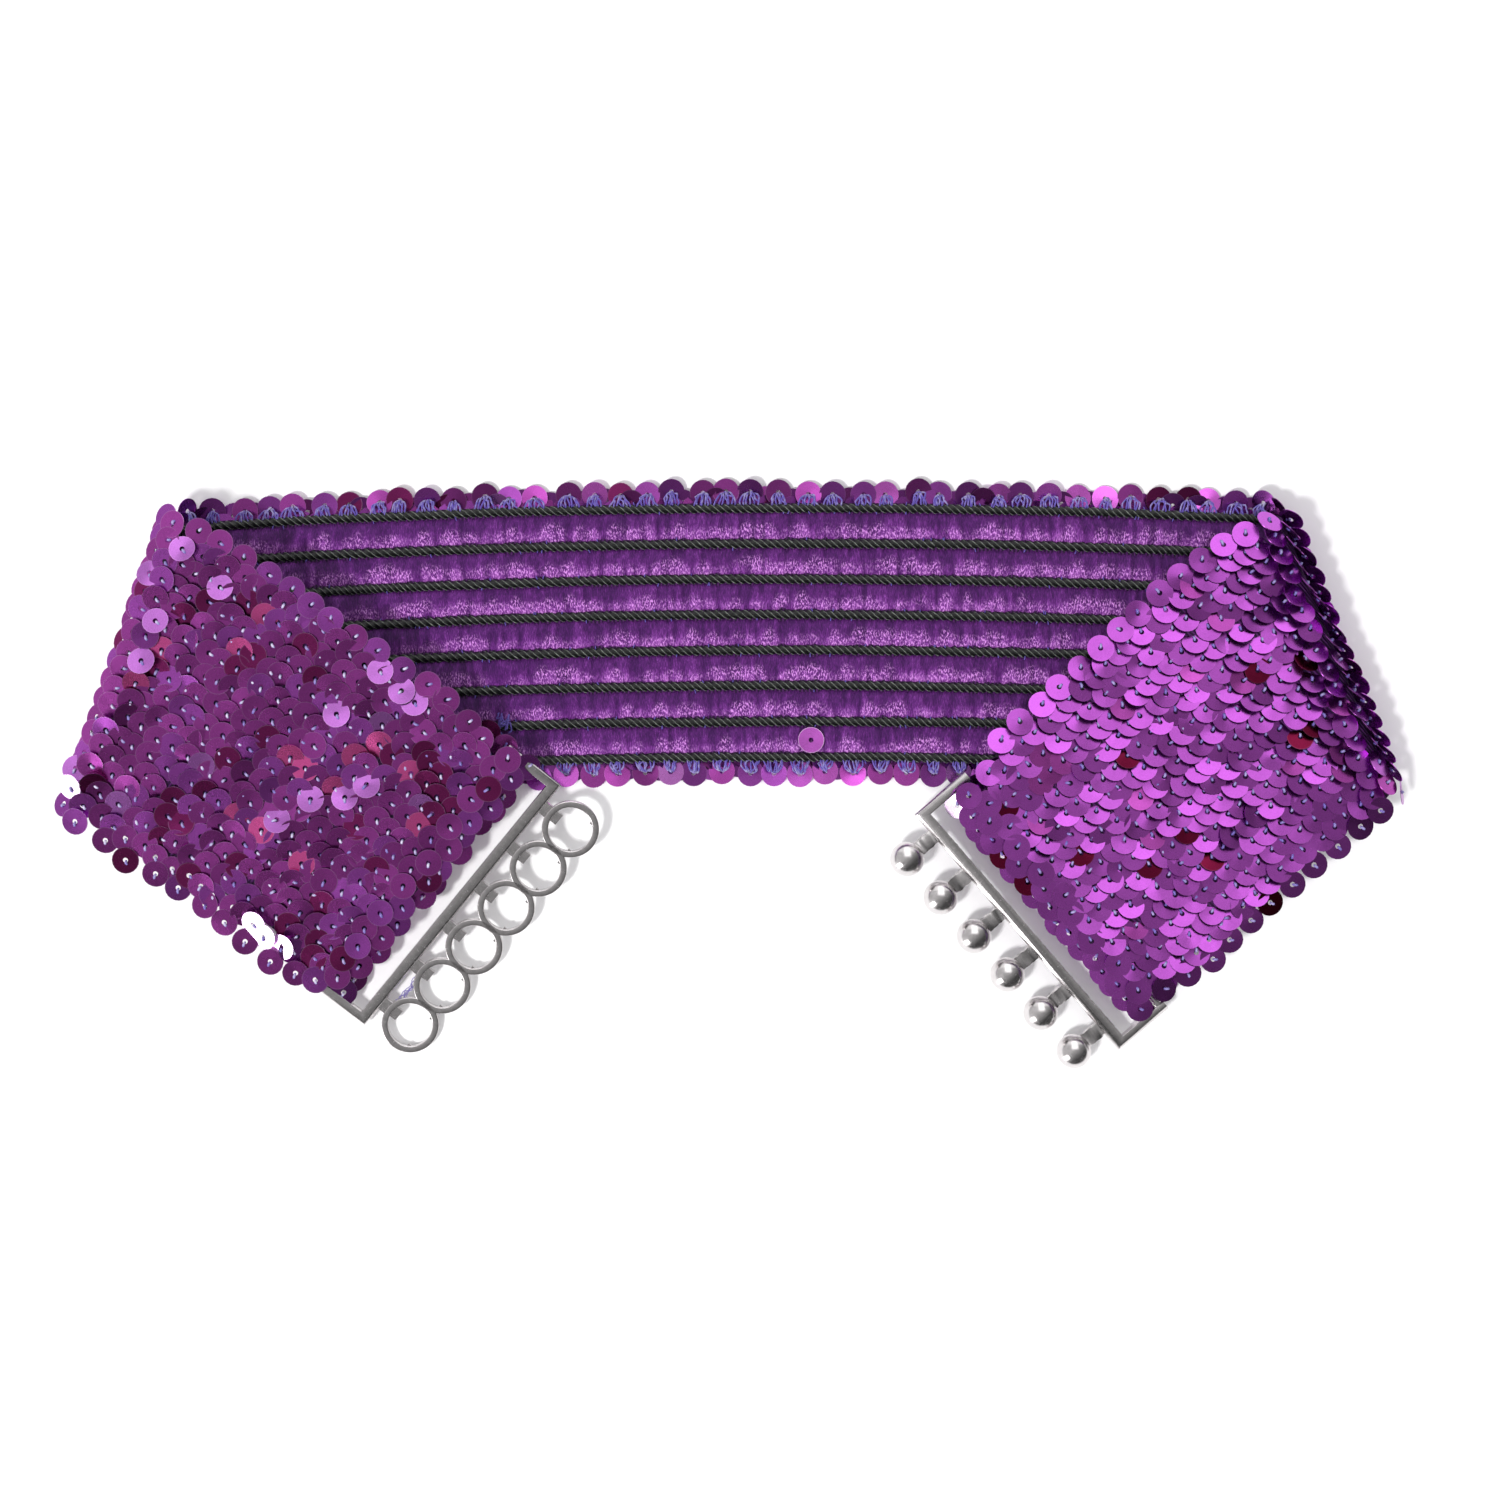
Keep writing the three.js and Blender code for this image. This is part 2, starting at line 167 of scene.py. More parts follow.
pale = {"Strength": brightness, "Color": (0.995, 0.99, 1.0, 1.0)}
set_inputs(tree, tree.nodes["Background"], pale)
bpy.context.scene.view_settings.view_transform = "Standard"

# Woven band: one strip of elastic, 62 mm wide, woven of purple yarn on eight elastic cords. Its
# ends are rolled over slantwise, looped round the clasps' inner bars and sewn back on themselves.
# A place on it is s, along it, v, across it, and w, through it from the sequins to the woven back.
MM = 0.001
WALL = 2.8
WEAVE_LOW, WEAVE_HIGH = 1.3, 2.5
WEAVE_HALF_WIDTH = 30.7
CROWN_X, CROWN_Y, BOW_RADIUS, BOW_FROM, BOW_TO = 16.1, 33.8, 2174.0, -135.0, 128.0
TURN_LENGTH = 45.0
LOOP_RADIUS, LOOP_HALF_WIDTH, LOOP_WRAP = 3.5, 33.4, math.pi * 3.5
RETURN_LENGTH, RETURN_RISE = 15.0, 2.5


def smooth_step(share):
    t = np.clip(share, 0.0, 1.0)
    return t * t * (3.0 - 2.0 * t)


def flat_place(s, v):
    """The band in plan before its ends are rolled over."""
    on_bow = np.clip(s, BOW_FROM, BOW_TO)
    heading = -on_bow / BOW_RADIUS
    x = CROWN_X + BOW_RADIUS * np.sin(on_bow / BOW_RADIUS)
    y = CROWN_Y - BOW_RADIUS * (1.0 - np.cos(on_bow / BOW_RADIUS))
    x = x + (s - on_bow) * np.cos(heading) - v * np.sin(heading)
    y = y + (s - on_bow) * np.sin(heading) + v * np.cos(heading)
    return x, y


def band_end(side, fold_at, fold_angle, roll, taper, turn, shift, reach, heading, bar_z):
    """What follows from one end's sizes: its fold, its inner bar and its slanted lines."""
    end = SimpleNamespace(side=side, fold_at=fold_at, roll=roll, taper=taper, shift=shift)
    bow = -min(max(fold_at, BOW_FROM), BOW_TO) / BOW_RADIUS
    fold = math.radians(fold_angle)
    end.turn = math.radians(turn)
    flap_heading = 2 * fold - (bow + (math.pi if side < 0 else 0)) + end.turn
    end.heading = math.radians(heading)
    end.along = (math.cos(fold), math.sin(fold))
    end.outward = (side * math.sin(fold), -side * math.cos(fold))
    end.centre = tuple(float(c) for c in flat_place(fold_at, 0.0))
    end.bar = (
        end.centre[0] + shift[0] + reach * math.cos(flap_heading),
        end.centre[1] + shift[1] + reach * math.sin(flap_heading),
    )
    end.bar_out = (math.cos(end.heading), math.sin(end.heading))
    end.bar_up = (side * end.bar_out[1], -side * end.bar_out[0])
    end.bar_z = bar_z
    slant = fold - bow
    end.skew = math.tan(end.heading - flap_heading)
    quarter = side * (math.pi / 2) / math.sin(slant)
    end.roll_lines = [
        (fold_at + way * quarter * roll, 1 / math.tan(slant) + way * quarter * taper)
        for way in (-1, 1)
    ]
    end.bar_line = (fold_at + side * reach, end.skew)
    end.past_bar = side * math.hypot(1, end.skew)
    return end


LEFT = band_end(-1, -161.5, 70.0, 5.5, 0.05, 7.2, (1.1, 1.5), 86.9, -39.5, (4.95, 8.95))
RIGHT = band_end(1, 128.3, 112.3, 4.9, 0.02, -4.7, (-2.5, 2.6), 88.3, 221.0, (4.95, 7.35))


def on_line(line, v):
    return line[0] + line[1] * v


def past_bar(end, past):
    """The line across the band that lies so far past an end's inner bar."""
    return (end.bar_line[0] + end.past_bar * past, end.bar_line[1])


def bar_height(end, across):
    low, high = end.bar_z
    return low + (high - low) * (across + LOOP_HALF_WIDTH) / (2 * LOOP_HALF_WIDTH)


def end_place(end, s, v):
    x, y = flat_place(s, v)
    x, y = x - end.centre[0], y - end.centre[1]
    past = x * end.outward[0] + y * end.outward[1]
    beside = x * end.along[0] + y * end.along[1]
    radius = end.roll + end.taper * v
    quarter = radius * math.pi / 2
    angle = np.clip((past + quarter) / radius, 0.0, math.pi)
    across = np.where(angle > 0, radius * np.sin(angle) - quarter, past)
    across = np.where(angle >= math.pi, -past, across)
    turned = smooth_step((past + quarter) / TURN_LENGTH)
    x = beside * end.along[0] + across * end.outward[0]
    y = beside * end.along[1] + across * end.outward[1]
    cosine, sine = np.cos(end.turn * turned), np.sin(end.turn * turned)
    x, y = cosine * x - sine * y, sine * x + cosine * y
    x = x + end.centre[0] + end.shift[0] * turned
    y = y + end.centre[1] + end.shift[1] * turned
    z = WALL / 2 + radius * (1 - np.cos(angle))

    across_bar = (x - end.bar[0]) * end.bar_up[0] + (y - end.bar[1]) * end.bar_up[1]
    beyond = (x - end.bar[0]) * end.bar_out[0] + (y - end.bar[1]) * end.bar_out[1]
    bar_z = bar_height(end, across_bar)
    roll_end = on_line(end.roll_lines[1], v)
    flap_share = smooth_step((s - roll_end) / (on_line(end.bar_line, v) - roll_end))
    flap_z = z + (bar_z + LOOP_RADIUS - z) * flap_share
    on_flap = angle >= math.pi
    on_loop = on_flap & (beyond > 0)
    wrap = np.clip(beyond / LOOP_RADIUS, 0.0, math.pi)
    back = np.maximum(beyond - LOOP_WRAP, 0.0)
    out = LOOP_RADIUS * np.sin(wrap) - back
    loop_z = bar_z + LOOP_RADIUS * np.cos(wrap) + RETURN_RISE * smooth_step(back / RETURN_LENGTH)
    x = np.where(on_loop, end.bar[0] + end.bar_up[0] * across_bar + end.bar_out[0] * out, x)
    y = np.where(on_loop, end.bar[1] + end.bar_up[1] * across_bar + end.bar_out[1] * out, y)
    z = np.where(on_loop, loop_z, np.where(on_flap, flap_z, z))
    return np.stack([x, y, z], axis=-1)


def band_place(s, v):
    s, v = np.broadcast_arrays(np.asarray(s, float), np.asarray(v, float))
    return np.where((s < 0)[..., None], end_place(LEFT, s, v), end_place(RIGHT, s, v))


def unit(vectors):
    return vectors / np.linalg.norm(vectors, axis=-1, keepdims=True)


def band_frame(s, v):
    """Middle of the wall, and the directions along the band, across it and to its woven back."""
    step = 0.02
    along = unit(band_place(s + step, v) - band_place(s - step, v))
    across = unit(band_place(s, v + step) - band_place(s, v - step))
    normal = unit(np.cross(along, across))
    return band_place(s, v), along, unit(np.cross(normal, along)), normal


def in_band(s, v, w):
    place, _, _, normal = band_frame(s, v)
    return place + normal * (np.asarray(w)[..., None] - WALL / 2)


def lofted(rings, closed=False):
    """Faces of lofts through rings of points. rings is (lofts, stations, points round, 3)."""
    lofts, stations, around = rings.shape[:3]
    number = np.arange(lofts * stations * around).reshape(lofts, stations, around)
    here, there = number, np.roll(number, -1, axis=1)
    if not closed:
        here, there = here[:, :-1], there[:, :-1]
    walls = np.stack([here, there, np.roll(there, -1, axis=2), np.roll(here, -1, axis=2)], -1)
    faces = [walls.reshape(-1, 4)]
    if not closed:
        for ring, turn in ((number[:, 0], 1), (number[:, -1], -1)):
            thirds = range(1, around - 1)
            fan = [np.stack([ring[:, 0], ring[:, i], ring[:, i + 1]], -1) for i in thirds]
            faces.append(np.concatenate(fan)[:, ::turn])
    return faces


def joined(lofts):
    """Points and faces of several lofts, each (rings, closed), as one."""
    points, faces, offset = [], [], 0
    for rings, closed in lofts:
        faces += [group + offset for group in lofted(rings, closed)]
        points.append(rings.reshape(-1, 3))
        offset += len(points[-1])
    return np.concatenate(points), faces


def new_piece(name, points, faces, material, uv=None, tint=None, crease=None):
    """A mesh object from points in millimetres, with its faces turned outwards."""
    points = np.asarray(points, float).reshape(-1, 3)
    volume = 0.0
    for group in faces:
        a, b, c = (points[group[:, i]] for i in range(3))
        volume += np.einsum("ij,ij->", a, np.cross(b, c))
        if group.shape[1] == 4:
            d = points[group[:, 3]]
            volume += np.einsum("ij,ij->", a, np.cross(c, d))
    if volume < 0:
        faces = [group[:, ::-1] for group in faces]
    corners = np.concatenate([group.ravel() for group in faces])
    sizes = np.concatenate([np.full(len(group), group.shape[1]) for group in faces])
    mesh = bpy.data.meshes.new(name)
    mesh.vertices.add(len(points))
    mesh.vertices.foreach_set("co", (points * MM).ravel())
    mesh.loops.add(len(corners))
    mesh.loops.foreach_set("vertex_index", corners)
    mesh.polygons.add(len(sizes))
    mesh.polygons.foreach_set("loop_start", np.concatenate([[0], np.cumsum(sizes)[:-1]]))
    mesh.update(calc_edges=True)
    mesh.polygons.foreach_set("use_smooth", np.full(len(sizes), True))
    if crease is not None:
        mesh.set_sharp_from_angle(angle=math.radians(crease))
    if uv is not None:
        layer = mesh.uv_layers.new(name="place")
        layer.data.foreach_set("uv", np.asarray(uv, float).reshape(-1, 2)[corners].ravel())
    if tint is not None:
        colors = mesh.color_attributes.new("tint", "FLOAT_COLOR", "POINT")
        colors.data.foreach_set("color", np.asarray(tint, float).reshape(-1, 4).ravel())
    mesh.materials.append(material)
    return new_object(name, mesh)


def stations_between(from_line, to_line, step):
    """Slanted lines (at, slope) from one to the other, about so far apart along the band."""
    count = max(2, int(round(abs(to_line[0] - from_line[0]) / step)) + 1)
    share = np.linspace(0.0, 1.0, count)
    at = from_line[0] + (to_line[0] - from_line[0]) * share
    slope = from_line[1] + (to_line[1] - from_line[1]) * share
    return np.stack([at, slope], -1)


def cut_line(end):
    return (past_bar(end, LOOP_WRAP + RETURN_LENGTH)[0], 0.0)


def stretch_lines(end, step, fine):
    """Lines from where an end's roll starts to its cut edge, closer together where it bends."""
    keys = [*end.roll_lines, end.bar_line, past_bar(end, LOOP_WRAP), cut_line(end)]
    steps = [fine, step, fine, step]
    parts = [stations_between(keys[i], keys[i + 1], steps[i])[:-1] for i in range(4)]
    return np.concatenate([*parts, np.array([keys[-1]])])


def whole_band_lines(step, fine):
    left = stretch_lines(LEFT, step, fine)[::-1]
    right = stretch_lines(RIGHT, step, fine)
    back = stations_between(tuple(left[-1]), tuple(right[0]), step)
    return np.concatenate([left[:-1], back, right[1:]])


def own_place(tree):
    """A piece's own map: along the part and across it, in millimetres."""
    return add_node(tree, "UVMap", {}, uv_map="place")["UV"]


def color_ramp(tree, value, *stops):
    """A colour for each value, from stops of (place, colour)."""
    outputs = add_node(tree, "ValToRGB", {"Fac": value})
    ramp = outputs["Color"].node.color_ramp
    for element, (place, color) in zip(ramp.elements, (stops[0], stops[-1])):
        element.position, element.color = place, (*color, 1)
    for place, color in stops[1:-1]:
        ramp.elements.new(place).color = (*color, 1)
    return outputs["Color"]


def bump(tree, height, strength, distance):
    return add_node(
        tree, "Bump", {"Height": height, "Strength": strength, "Distance": distance}
    )["Normal"]


woven_purple, tree, shader = new_material("woven_purple", (0.035, 0.006, 0.055), 0.75)
weave = add_node(
    tree, "TexWave",
    {"Vector": own_place(tree), "Scale": 0.35, "Distortion": 1.2, "Detail": 2.0},
)["Fac"]
set_inputs(tree, shader, {
    "Base Color": color_ramp(
        tree, weave, (0.0, (0.016, 0.003, 0.028)), (1.0, (0.075, 0.012, 0.11))
    ),
    "Normal": bump(tree, weave, 0.8, 0.0003),
})

lines = whole_band_lines(4.0, 0.9)
across_places = np.linspace(-WEAVE_HALF_WIDTH, WEAVE_HALF_WIDTH, 31)
section_v = np.concatenate([across_places, across_places[::-1]])
section_w = np.repeat([WEAVE_LOW, WEAVE_HIGH], len(across_places))
s = lines[:, 0:1] + lines[:, 1:2] * section_v[None, :]
v = np.broadcast_to(section_v, s.shape)
w = np.broadcast_to(section_w, s.shape)
rings = in_band(s, v, w)[None]
woven_band = new_piece(
    "woven_band", rings, lofted(rings), woven_purple, uv=np.stack([s, v], -1)[None], crease=50
)
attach(woven_band, "band")
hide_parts("band")

# Elastic cords: eight black cords, each laid up of four strands over a rubber core, woven in
# along the band 8.43 mm apart and standing proud of its back.
CORD_COUNT, CORD_PITCH = 8, 8.43
CORD_RADIUS, CORD_LOBE, CORD_HEIGHT = 0.86, 0.36, 2.62
CORD_LAY, LAY_CHANGE, CORD_WANDER = 6.6, 0.08, 0.35
CORD_STRANDS, POINTS_A_STRAND = 4, 3
# Cord colour: painted shade in the grooves between strands, painted highlight along each strand's
# crest
GROOVE_PAINTED_SHADE, CREST_PAINTED_HIGHLIGHT = 0.30, 1.00

cord_black, tree, shader = new_material("cord_black", (0.012, 0.016, 0.013), 0.5)


def stretched_noise(tree, vector, stretch, turn=0.0, **inputs):
    """Noise drawn out by different amounts along and across."""
    mapping = {"Vector": vector, "Scale": (*stretch, 1.0), "Rotation": (0.0, 0.0, turn)}
    place = add_node(tree, "Mapping", mapping)["Vector"]
    return add_node(tree, "TexNoise", {"Vector": place, **inputs})["Fac"]


def own_tint(tree):
    """What a piece's own points say of their shade: colour, brightness and alpha."""
    return add_node(tree, "Attribute", {}, attribute_name="tint")


fibres = stretched_noise(tree, own_place(tree), (0.7, 9.0), Scale=1.6, Detail=3.0)
# The ramp's pale top, reached on the strand crests, is a painted highlight; its near black foot is
# painted shade in the grooves
set_inputs(tree, shader, {
    "Base Color": color_ramp(
        tree, maths(tree, "MULTIPLY", fibres, own_tint(tree)["Fac"]),
        (0.30, (0.0022, 0.0030, 0.0026)), (0.52, (0.008, 0.010, 0.009)),
        (0.74, (0.260, 0.290, 0.250)),
    ),
    "Normal": bump(tree, fibres, 0.6, 0.0001),
})


def value_noise(rng, x, y, cell_x, cell_y, rows=64, columns=2048):
    """Smooth random values from 0 to 1 on a grid of cells, in millimetres."""
    grid = rng.random((columns, rows))
    fx, fy = np.asarray(x) / cell_x, np.asarray(y) / cell_y
    ix, iy = np.floor(fx).astype(int), np.floor(fy).astype(int)
    tx, ty = smooth_step(fx - ix), smooth_step(fy - iy)

    def corner(i, j):
        return grid[(ix + i) % columns, (iy + j) % rows]

    low = corner(0, 0) * (1 - tx) + corner(1, 0) * tx
    high = corner(0, 1) * (1 - tx) + corner(1, 1) * tx
    return low * (1 - ty) + high * ty


def angles_round(count):
    return np.arange(count) / count * 2 * math.pi


def cord_middles():
    return (np.arange(CORD_COUNT) - (CORD_COUNT - 1) / 2) * CORD_PITCH


def twisted_cords(name, lines):
    rng = np.random.default_rng(11)
    around = CORD_STRANDS * POINTS_A_STRAND
    middle = cord_middles()[:, None]
    at = lines[None, :, 0] + lines[None, :, 1] * middle
    from_end = at + 300
    wander = CORD_WANDER * (value_noise(rng, from_end, middle * 9, 23.0, 5.0) - 0.5)
    lay = value_noise(rng, from_end, middle * 7 + 400, 31.0, 5.0)
    lay = 1.0 + LAY_CHANGE * (lay - 0.5)
    spin = 2 * math.pi * at / CORD_LAY * lay
    phase = angles_round(around)
    angle = phase[None, None, :] + spin[..., None]
    crest = np.abs(np.cos(CORD_STRANDS * phase / 2))
    radius = CORD_RADIUS + CORD_LOBE * (crest * 2 - 1.2)
    v = middle[..., None] + wander[..., None] + radius * np.cos(angle)
    w = CORD_HEIGHT + 0.92 * radius * np.sin(angle)
    s = np.broadcast_to(at[..., None], v.shape)
    rings = in_band(s, v, w)
    strand_place = np.broadcast_to(np.arange(around) / POINTS_A_STRAND, v.shape)
    uv = np.stack([s, strand_place], -1)
    # Painted shade in the grooves and painted highlight on the crests, passed on in the tint
    shade = GROOVE_PAINTED_SHADE + CREST_PAINTED_HIGHLIGHT * crest**3.0
    tint = np.broadcast_to(shade[None, None, :, None], (*v.shape, 4))
    cords = new_piece(name, rings, lofted(rings), cord_black, uv=uv, tint=tint)
    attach(cords, "band")
    return cords


left_roll_start, right_roll_start = LEFT.roll_lines[0], RIGHT.roll_lines[0]
cords_back = twisted_cords("cords_back", stations_between(left_roll_start, right_roll_start, 0.4))
cords_left = twisted_cords("cords_left_end", stretch_lines(LEFT, 0.62, 0.5))
cords_right = twisted_cords("cords_right_end", stretch_lines(RIGHT, 0.62, 0.5))

# Chenille: seven rows of soft purple yarn woven crosswise between the cords, so its cut pile
# stands up in tufts a millimetre or so wide. The side of each row nearest the viewer is painted
# lighter, a painted highlight, with painted glints there and painted shade in thin gaps between
# tufts.
PILE_ROOT, PILE_FOOT, PILE_TOP = 1.6, 2.15, 3.3
ROW_WIDTH = CORD_PITCH - 1.5
FRINGE = 0.9

chenille_purple, tree, shader = new_material("chenille_purple", (0.11, 0.02, 0.19), 0.5)
tint_parts = add_node(tree, "SeparateColor", {"Color": own_tint(tree)["Color"]})
place = own_place(tree)
pile = stretched_noise(
    tree, place, (4.2, 0.9), Scale=1.0, Detail=5.0, Roughness=0.68, Distortion=0.6
)
# The tint's red brings the random tone of tufts and strands, the painted highlight and the painted
# shade
pile_color = color_ramp(
    tree, maths(tree, "ADD", pile, tint_parts["Red"]),
    (0.30, (0.046, 0.007, 0.080)), (0.50, (0.108, 0.016, 0.165)),
    (0.62, (0.20, 0.040, 0.285)), (0.78, (0.44, 0.13, 0.54)),
)
# Painted glints: bright specks on the lower side of each row, where the tint's green lets them
painted_glint_specks = stretched_noise(
    tree, place, (3.3, 1.35), turn=0.25, Scale=1.0, Detail=2.0, Roughness=0.6
)
painted_glint_specks = maths(tree, "MULTIPLY", step_up(tree, painted_glint_specks, 0.50, 0.60), tint_parts["Green"])


def mixed_colors(tree, share, color, other):
    inputs = {"Factor": share, "A": color, "B": (*other, 1)}
    return add_node(tree, "Mix", inputs, data_type="RGBA")["Result"]


set_inputs(tree, shader, {
    "Sheen Weight": 0.15,
    "Sheen Roughness": 0.35,
    "Sheen Tint": (0.80, 0.30, 0.95, 1),
    "Specular IOR Level": 0.25,
    "Base Color": mixed_colors(tree, painted_glint_specks, pile_color, (0.68, 0.28, 0.78)),
    "Normal": bump(tree, pile, 0.9, 0.00035),
})


def chenille_rows(name, lines, across_steps):
    rng = np.random.default_rng(23)
    share = np.concatenate([np.linspace(0.0, 1.0, across_steps), [1.0, 0.0]])
    top = np.concatenate([np.ones(across_steps), np.zeros(2)])
    row_middle = ((cord_middles()[:-1] + cord_middles()[1:]) / 2)[:, None, None]
    v = row_middle + (share - 0.5) * ROW_WIDTH + np.zeros((1, len(lines), 1))
    s = lines[None, :, 0:1] + lines[None, :, 1:2] * v
    from_end = s + 400
    tuft = value_noise(rng, from_end, v + 40, 1.15, 5.0)
    strand = value_noise(rng, from_end, v + 40, 0.5, 2.2)
    fringe = (value_noise(rng, from_end, v * 3, 0.9, 60.0) - 0.5) * FRINGE
    v = v + fringe * (2 * share - 1) * top
    crown = np.sin(math.pi * np.clip(share, 0.0, 1.0)) ** 0.55
    rise = PILE_TOP - PILE_FOOT
    w = PILE_FOOT + top * (rise * crown + crown * ((tuft - 0.5) * 0.75 + (strand - 0.5) * 0.35))
    w = np.where(top > 0, w, PILE_ROOT)
    rings = in_band(s, v, w)
    # Painted highlight: the lower side of each row, nearest the viewer, is painted lighter
    painted_lower_highlight = 0.20 * smooth_step((0.62 - share) / 0.5) * top - 0.10
    clump = value_noise(rng, from_end, v * 2 + 80, 2.6, 9.0)
    # Painted shade: thin dark lines across each row where the pile parts, which also dim the
    # glints
    painted_gap_shade = value_noise(rng, from_end, v * 0.4, 0.95, 5.0)
    painted_gap_shade = smooth_step((painted_gap_shade - 0.74) / 0.16)
    # shade: random tone of tufts and strands, plus the painted highlight, less the painted shade
    # in the gaps
    shade = 0.8 * painted_lower_highlight + 0.20 * (tuft - 0.5) + 0.14 * (strand - 0.5) - 0.10 * painted_gap_shade
    # Painted glints: how far up each row they reach, and how strong they are
    painted_glint_reach = 0.30 + 0.46 * clump
    painted_glints = np.clip(1.6 * clump + 1.4 * tuft - 0.6, 0.0, 1.0)
    painted_glints = painted_glints * smooth_step((painted_glint_reach - share) / 0.2) * top * (1 - 0.7 * painted_gap_shade)
    tint = np.stack([shade, painted_glints, painted_glints, np.ones(s.shape)], -1)
    uv = np.stack([s, v], -1)
    rows = new_piece(name, rings, lofted(rings), chenille_purple, uv=uv, tint=tint)
    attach(rows, "band")
    return rows


chenille_back = chenille_rows(
    "chenille_back", stations_between(left_roll_start, right_roll_start, 0.36), 9
)
chenille_left = chenille_rows("chenille_left_end", stretch_lines(LEFT, 1.1, 0.7), 6)
chenille_right = chenille_rows("chenille_right_end", stretch_lines(RIGHT, 1.1, 0.7), 6)

# Sequins: flat punched discs of purple metallic film, 6.3 mm across, with a small hole in the
# middle. Each is sewn down through its hole and lies on the next like a shingle, tipped up on the
# side towards the ball half. The outermost ones hang half over the band's edges.
SEQUIN_RADIUS, SEQUIN_HOLE, SEQUIN_THICKNESS = 3.15, 0.6, 0.13
ROW_STEP, EDGE_STEP = 3.8, 6.3
COLUMNS = 7
BACK_EDGE = 35.2
EDGE_IN, COLUMN_IN = 2.0, 5.9
EDGE_SHIFT, BETWEEN_IN = 1.7, 3.7
SEQUIN_BEND, SIZE_CHANGE, ABOVE_TABLE = 0.09, 0.05, 0.02
SHINGLE_TILT = 14.0
# Shares of its flap's tilt that a sequin keeps at the edge, and where it lies half flat
EDGE_TILT, HALF_FLAT_TILT = 0.3, 0.42
SEQUIN_LIFT, ROLL_STAND, LOOP_STAND = 0.75, 1.2, 1.3
PEEP_LIFT, BETWEEN_LIFT = 1.25, 0.5
# Each flap's sequins: how far they tip up, how far that is brushed round from the band's own
# direction, how far they tip up on the roll, how far out on the flap that reaches, and the most
# that those lying nearly level slope to the far side
LEFT_LIE, RIGHT_LIE = (9.0, 40.0, 27.0, 4.0, 0.07), (20.5, -46.0, 42.0, 9.0, 1.0)
# Where no slope is wanted to the far side, the most that a sequin leans at all and towards the
# soft box, which it would mirror
MOST_LEAN, MOST_TO_BOX = 0.6, 0.24
# Reach of the outermost sequins above and below the band's middle, at lines across each end
END_EDGES = {
    "left": [(38.0, 34.6), (38.4, 37.0), (38.4, 39.0), (36.6, 36.0)],
    "right": [(38.0, 33.0), (38.4, 34.8), (38.4, 37.0), (34.2, 33.6)],
}
BEFORE_BAR = [48.0, 12.0, 6.0]

sequin_film, tree, shader = new_material("sequin_film", (0.37, 0.07, 0.42), 0.32, 1.0)
tint = own_tint(tree)


def fine_noise(tree, scale, detail):
    """Noise that lies still in the piece, and so doesn't follow its own map."""
    place = add_node(tree, "TexCoord", {})["Object"]
    return add_node(tree, "TexNoise", {"Vector": place, "Scale": scale, "Detail": detail})["Fac"]


def rescaled(tree, value, low, high):
    return add_node(tree, "MapRange", {"Value": value, "To Min": low, "To Max": high})["Result"]


grain, cloud = fine_noise(tree, 2400.0, 3.0), fine_noise(tree, 420.0, 2.0)
from_hole = add_node(tree, "VectorMath", {0: own_place(tree)}, operation="LENGTH")["Value"]
# Painted rim highlight: a paler ring round each disc's edge, as strong as the tint's alpha
painted_rim_highlight = step_up(tree, from_hole, SEQUIN_RADIUS - 0.22, SEQUIN_RADIUS - 0.06)
painted_rim_highlight = maths(tree, "MULTIPLY", painted_rim_highlight, tint["Alpha"])
speckled = add_node(
    tree, "VectorMath", {0: tint["Color"], "Scale": rescaled(tree, grain, 0.84, 1.14)},
    operation="SCALE",
)["Vector"]
set_inputs(tree, shader, {
    "Base Color": mixed_colors(tree, painted_rim_highlight, speckled, (0.80, 0.48, 0.84)),
    "Roughness": rescaled(tree, cloud, 0.20, 0.34),
    "Normal": bump(tree, grain, 0.12, 0.00006),
})


def edge_reach(s):
    """How far the outermost sequins reach above and below the middle at each s."""
    above, below = np.full(s.shape, BACK_EDGE), np.full(s.shape, BACK_EDGE)
    for end, name in ((LEFT, "left"), (RIGHT, "right")):
        at = [end.roll_lines[0][0], end.roll_lines[1][0]]
        at += [end.bar_line[0] - end.past_bar * before for before in BEFORE_BAR]
        reach = [(BACK_EDGE, BACK_EDGE), *END_EDGES[name]]
        order = np.argsort(at)
        at, reach = np.array(at)[order], np.array(reach)[order]
        mine = s < 0 if end is LEFT else s >= 0
        above = np.where(mine, np.interp(s, at, reach[:, 0]), above)
        below = np.where(mine, np.interp(s, at, reach[:, 1]), below)
    return above, below


def near_roll(s, v, reach):
    """1 on the rolls, fading to 0 so far beyond them."""
    near = np.zeros(s.shape)
    for end in (LEFT, RIGHT):
        x, y = flat_place(s, v)
        past = (x - end.centre[0]) * end.outward[0] + (y - end.centre[1]) * end.outward[1]
        beyond = np.abs(past) - (end.roll + end.taper * v) * math.pi / 2
        near += 1 - smooth_step(beyond / reach + 0.25)
    return near


def past_inner_bar(s, v):
    """Millimetres from an end's inner bar along the band, towards the cut edge."""
    left = (s - on_line(LEFT.bar_line, v)) / LEFT.past_bar
    right = (s - on_line(RIGHT.bar_line, v)) / RIGHT.past_bar
    return np.where(s < 0, left, right)


def sequin_columns(from_s, to_s):
    """Places (s, v, which column) of a stretch's sequins, every other column half a step on."""
    found = []
    for column in range(-COLUMNS, COLUMNS + 1):
        start = math.ceil(from_s / ROW_STEP) * ROW_STEP + (column % 2) * ROW_STEP / 2
        s = np.arange(start, to_s, ROW_STEP)
        above, below = edge_reach(s)
        reach = np.where(column > 0, above, below) - COLUMN_IN
        found.append(np.stack([s, column / COLUMNS * reach, np.full(s.shape, column)], -1))
    return np.concatenate(found)


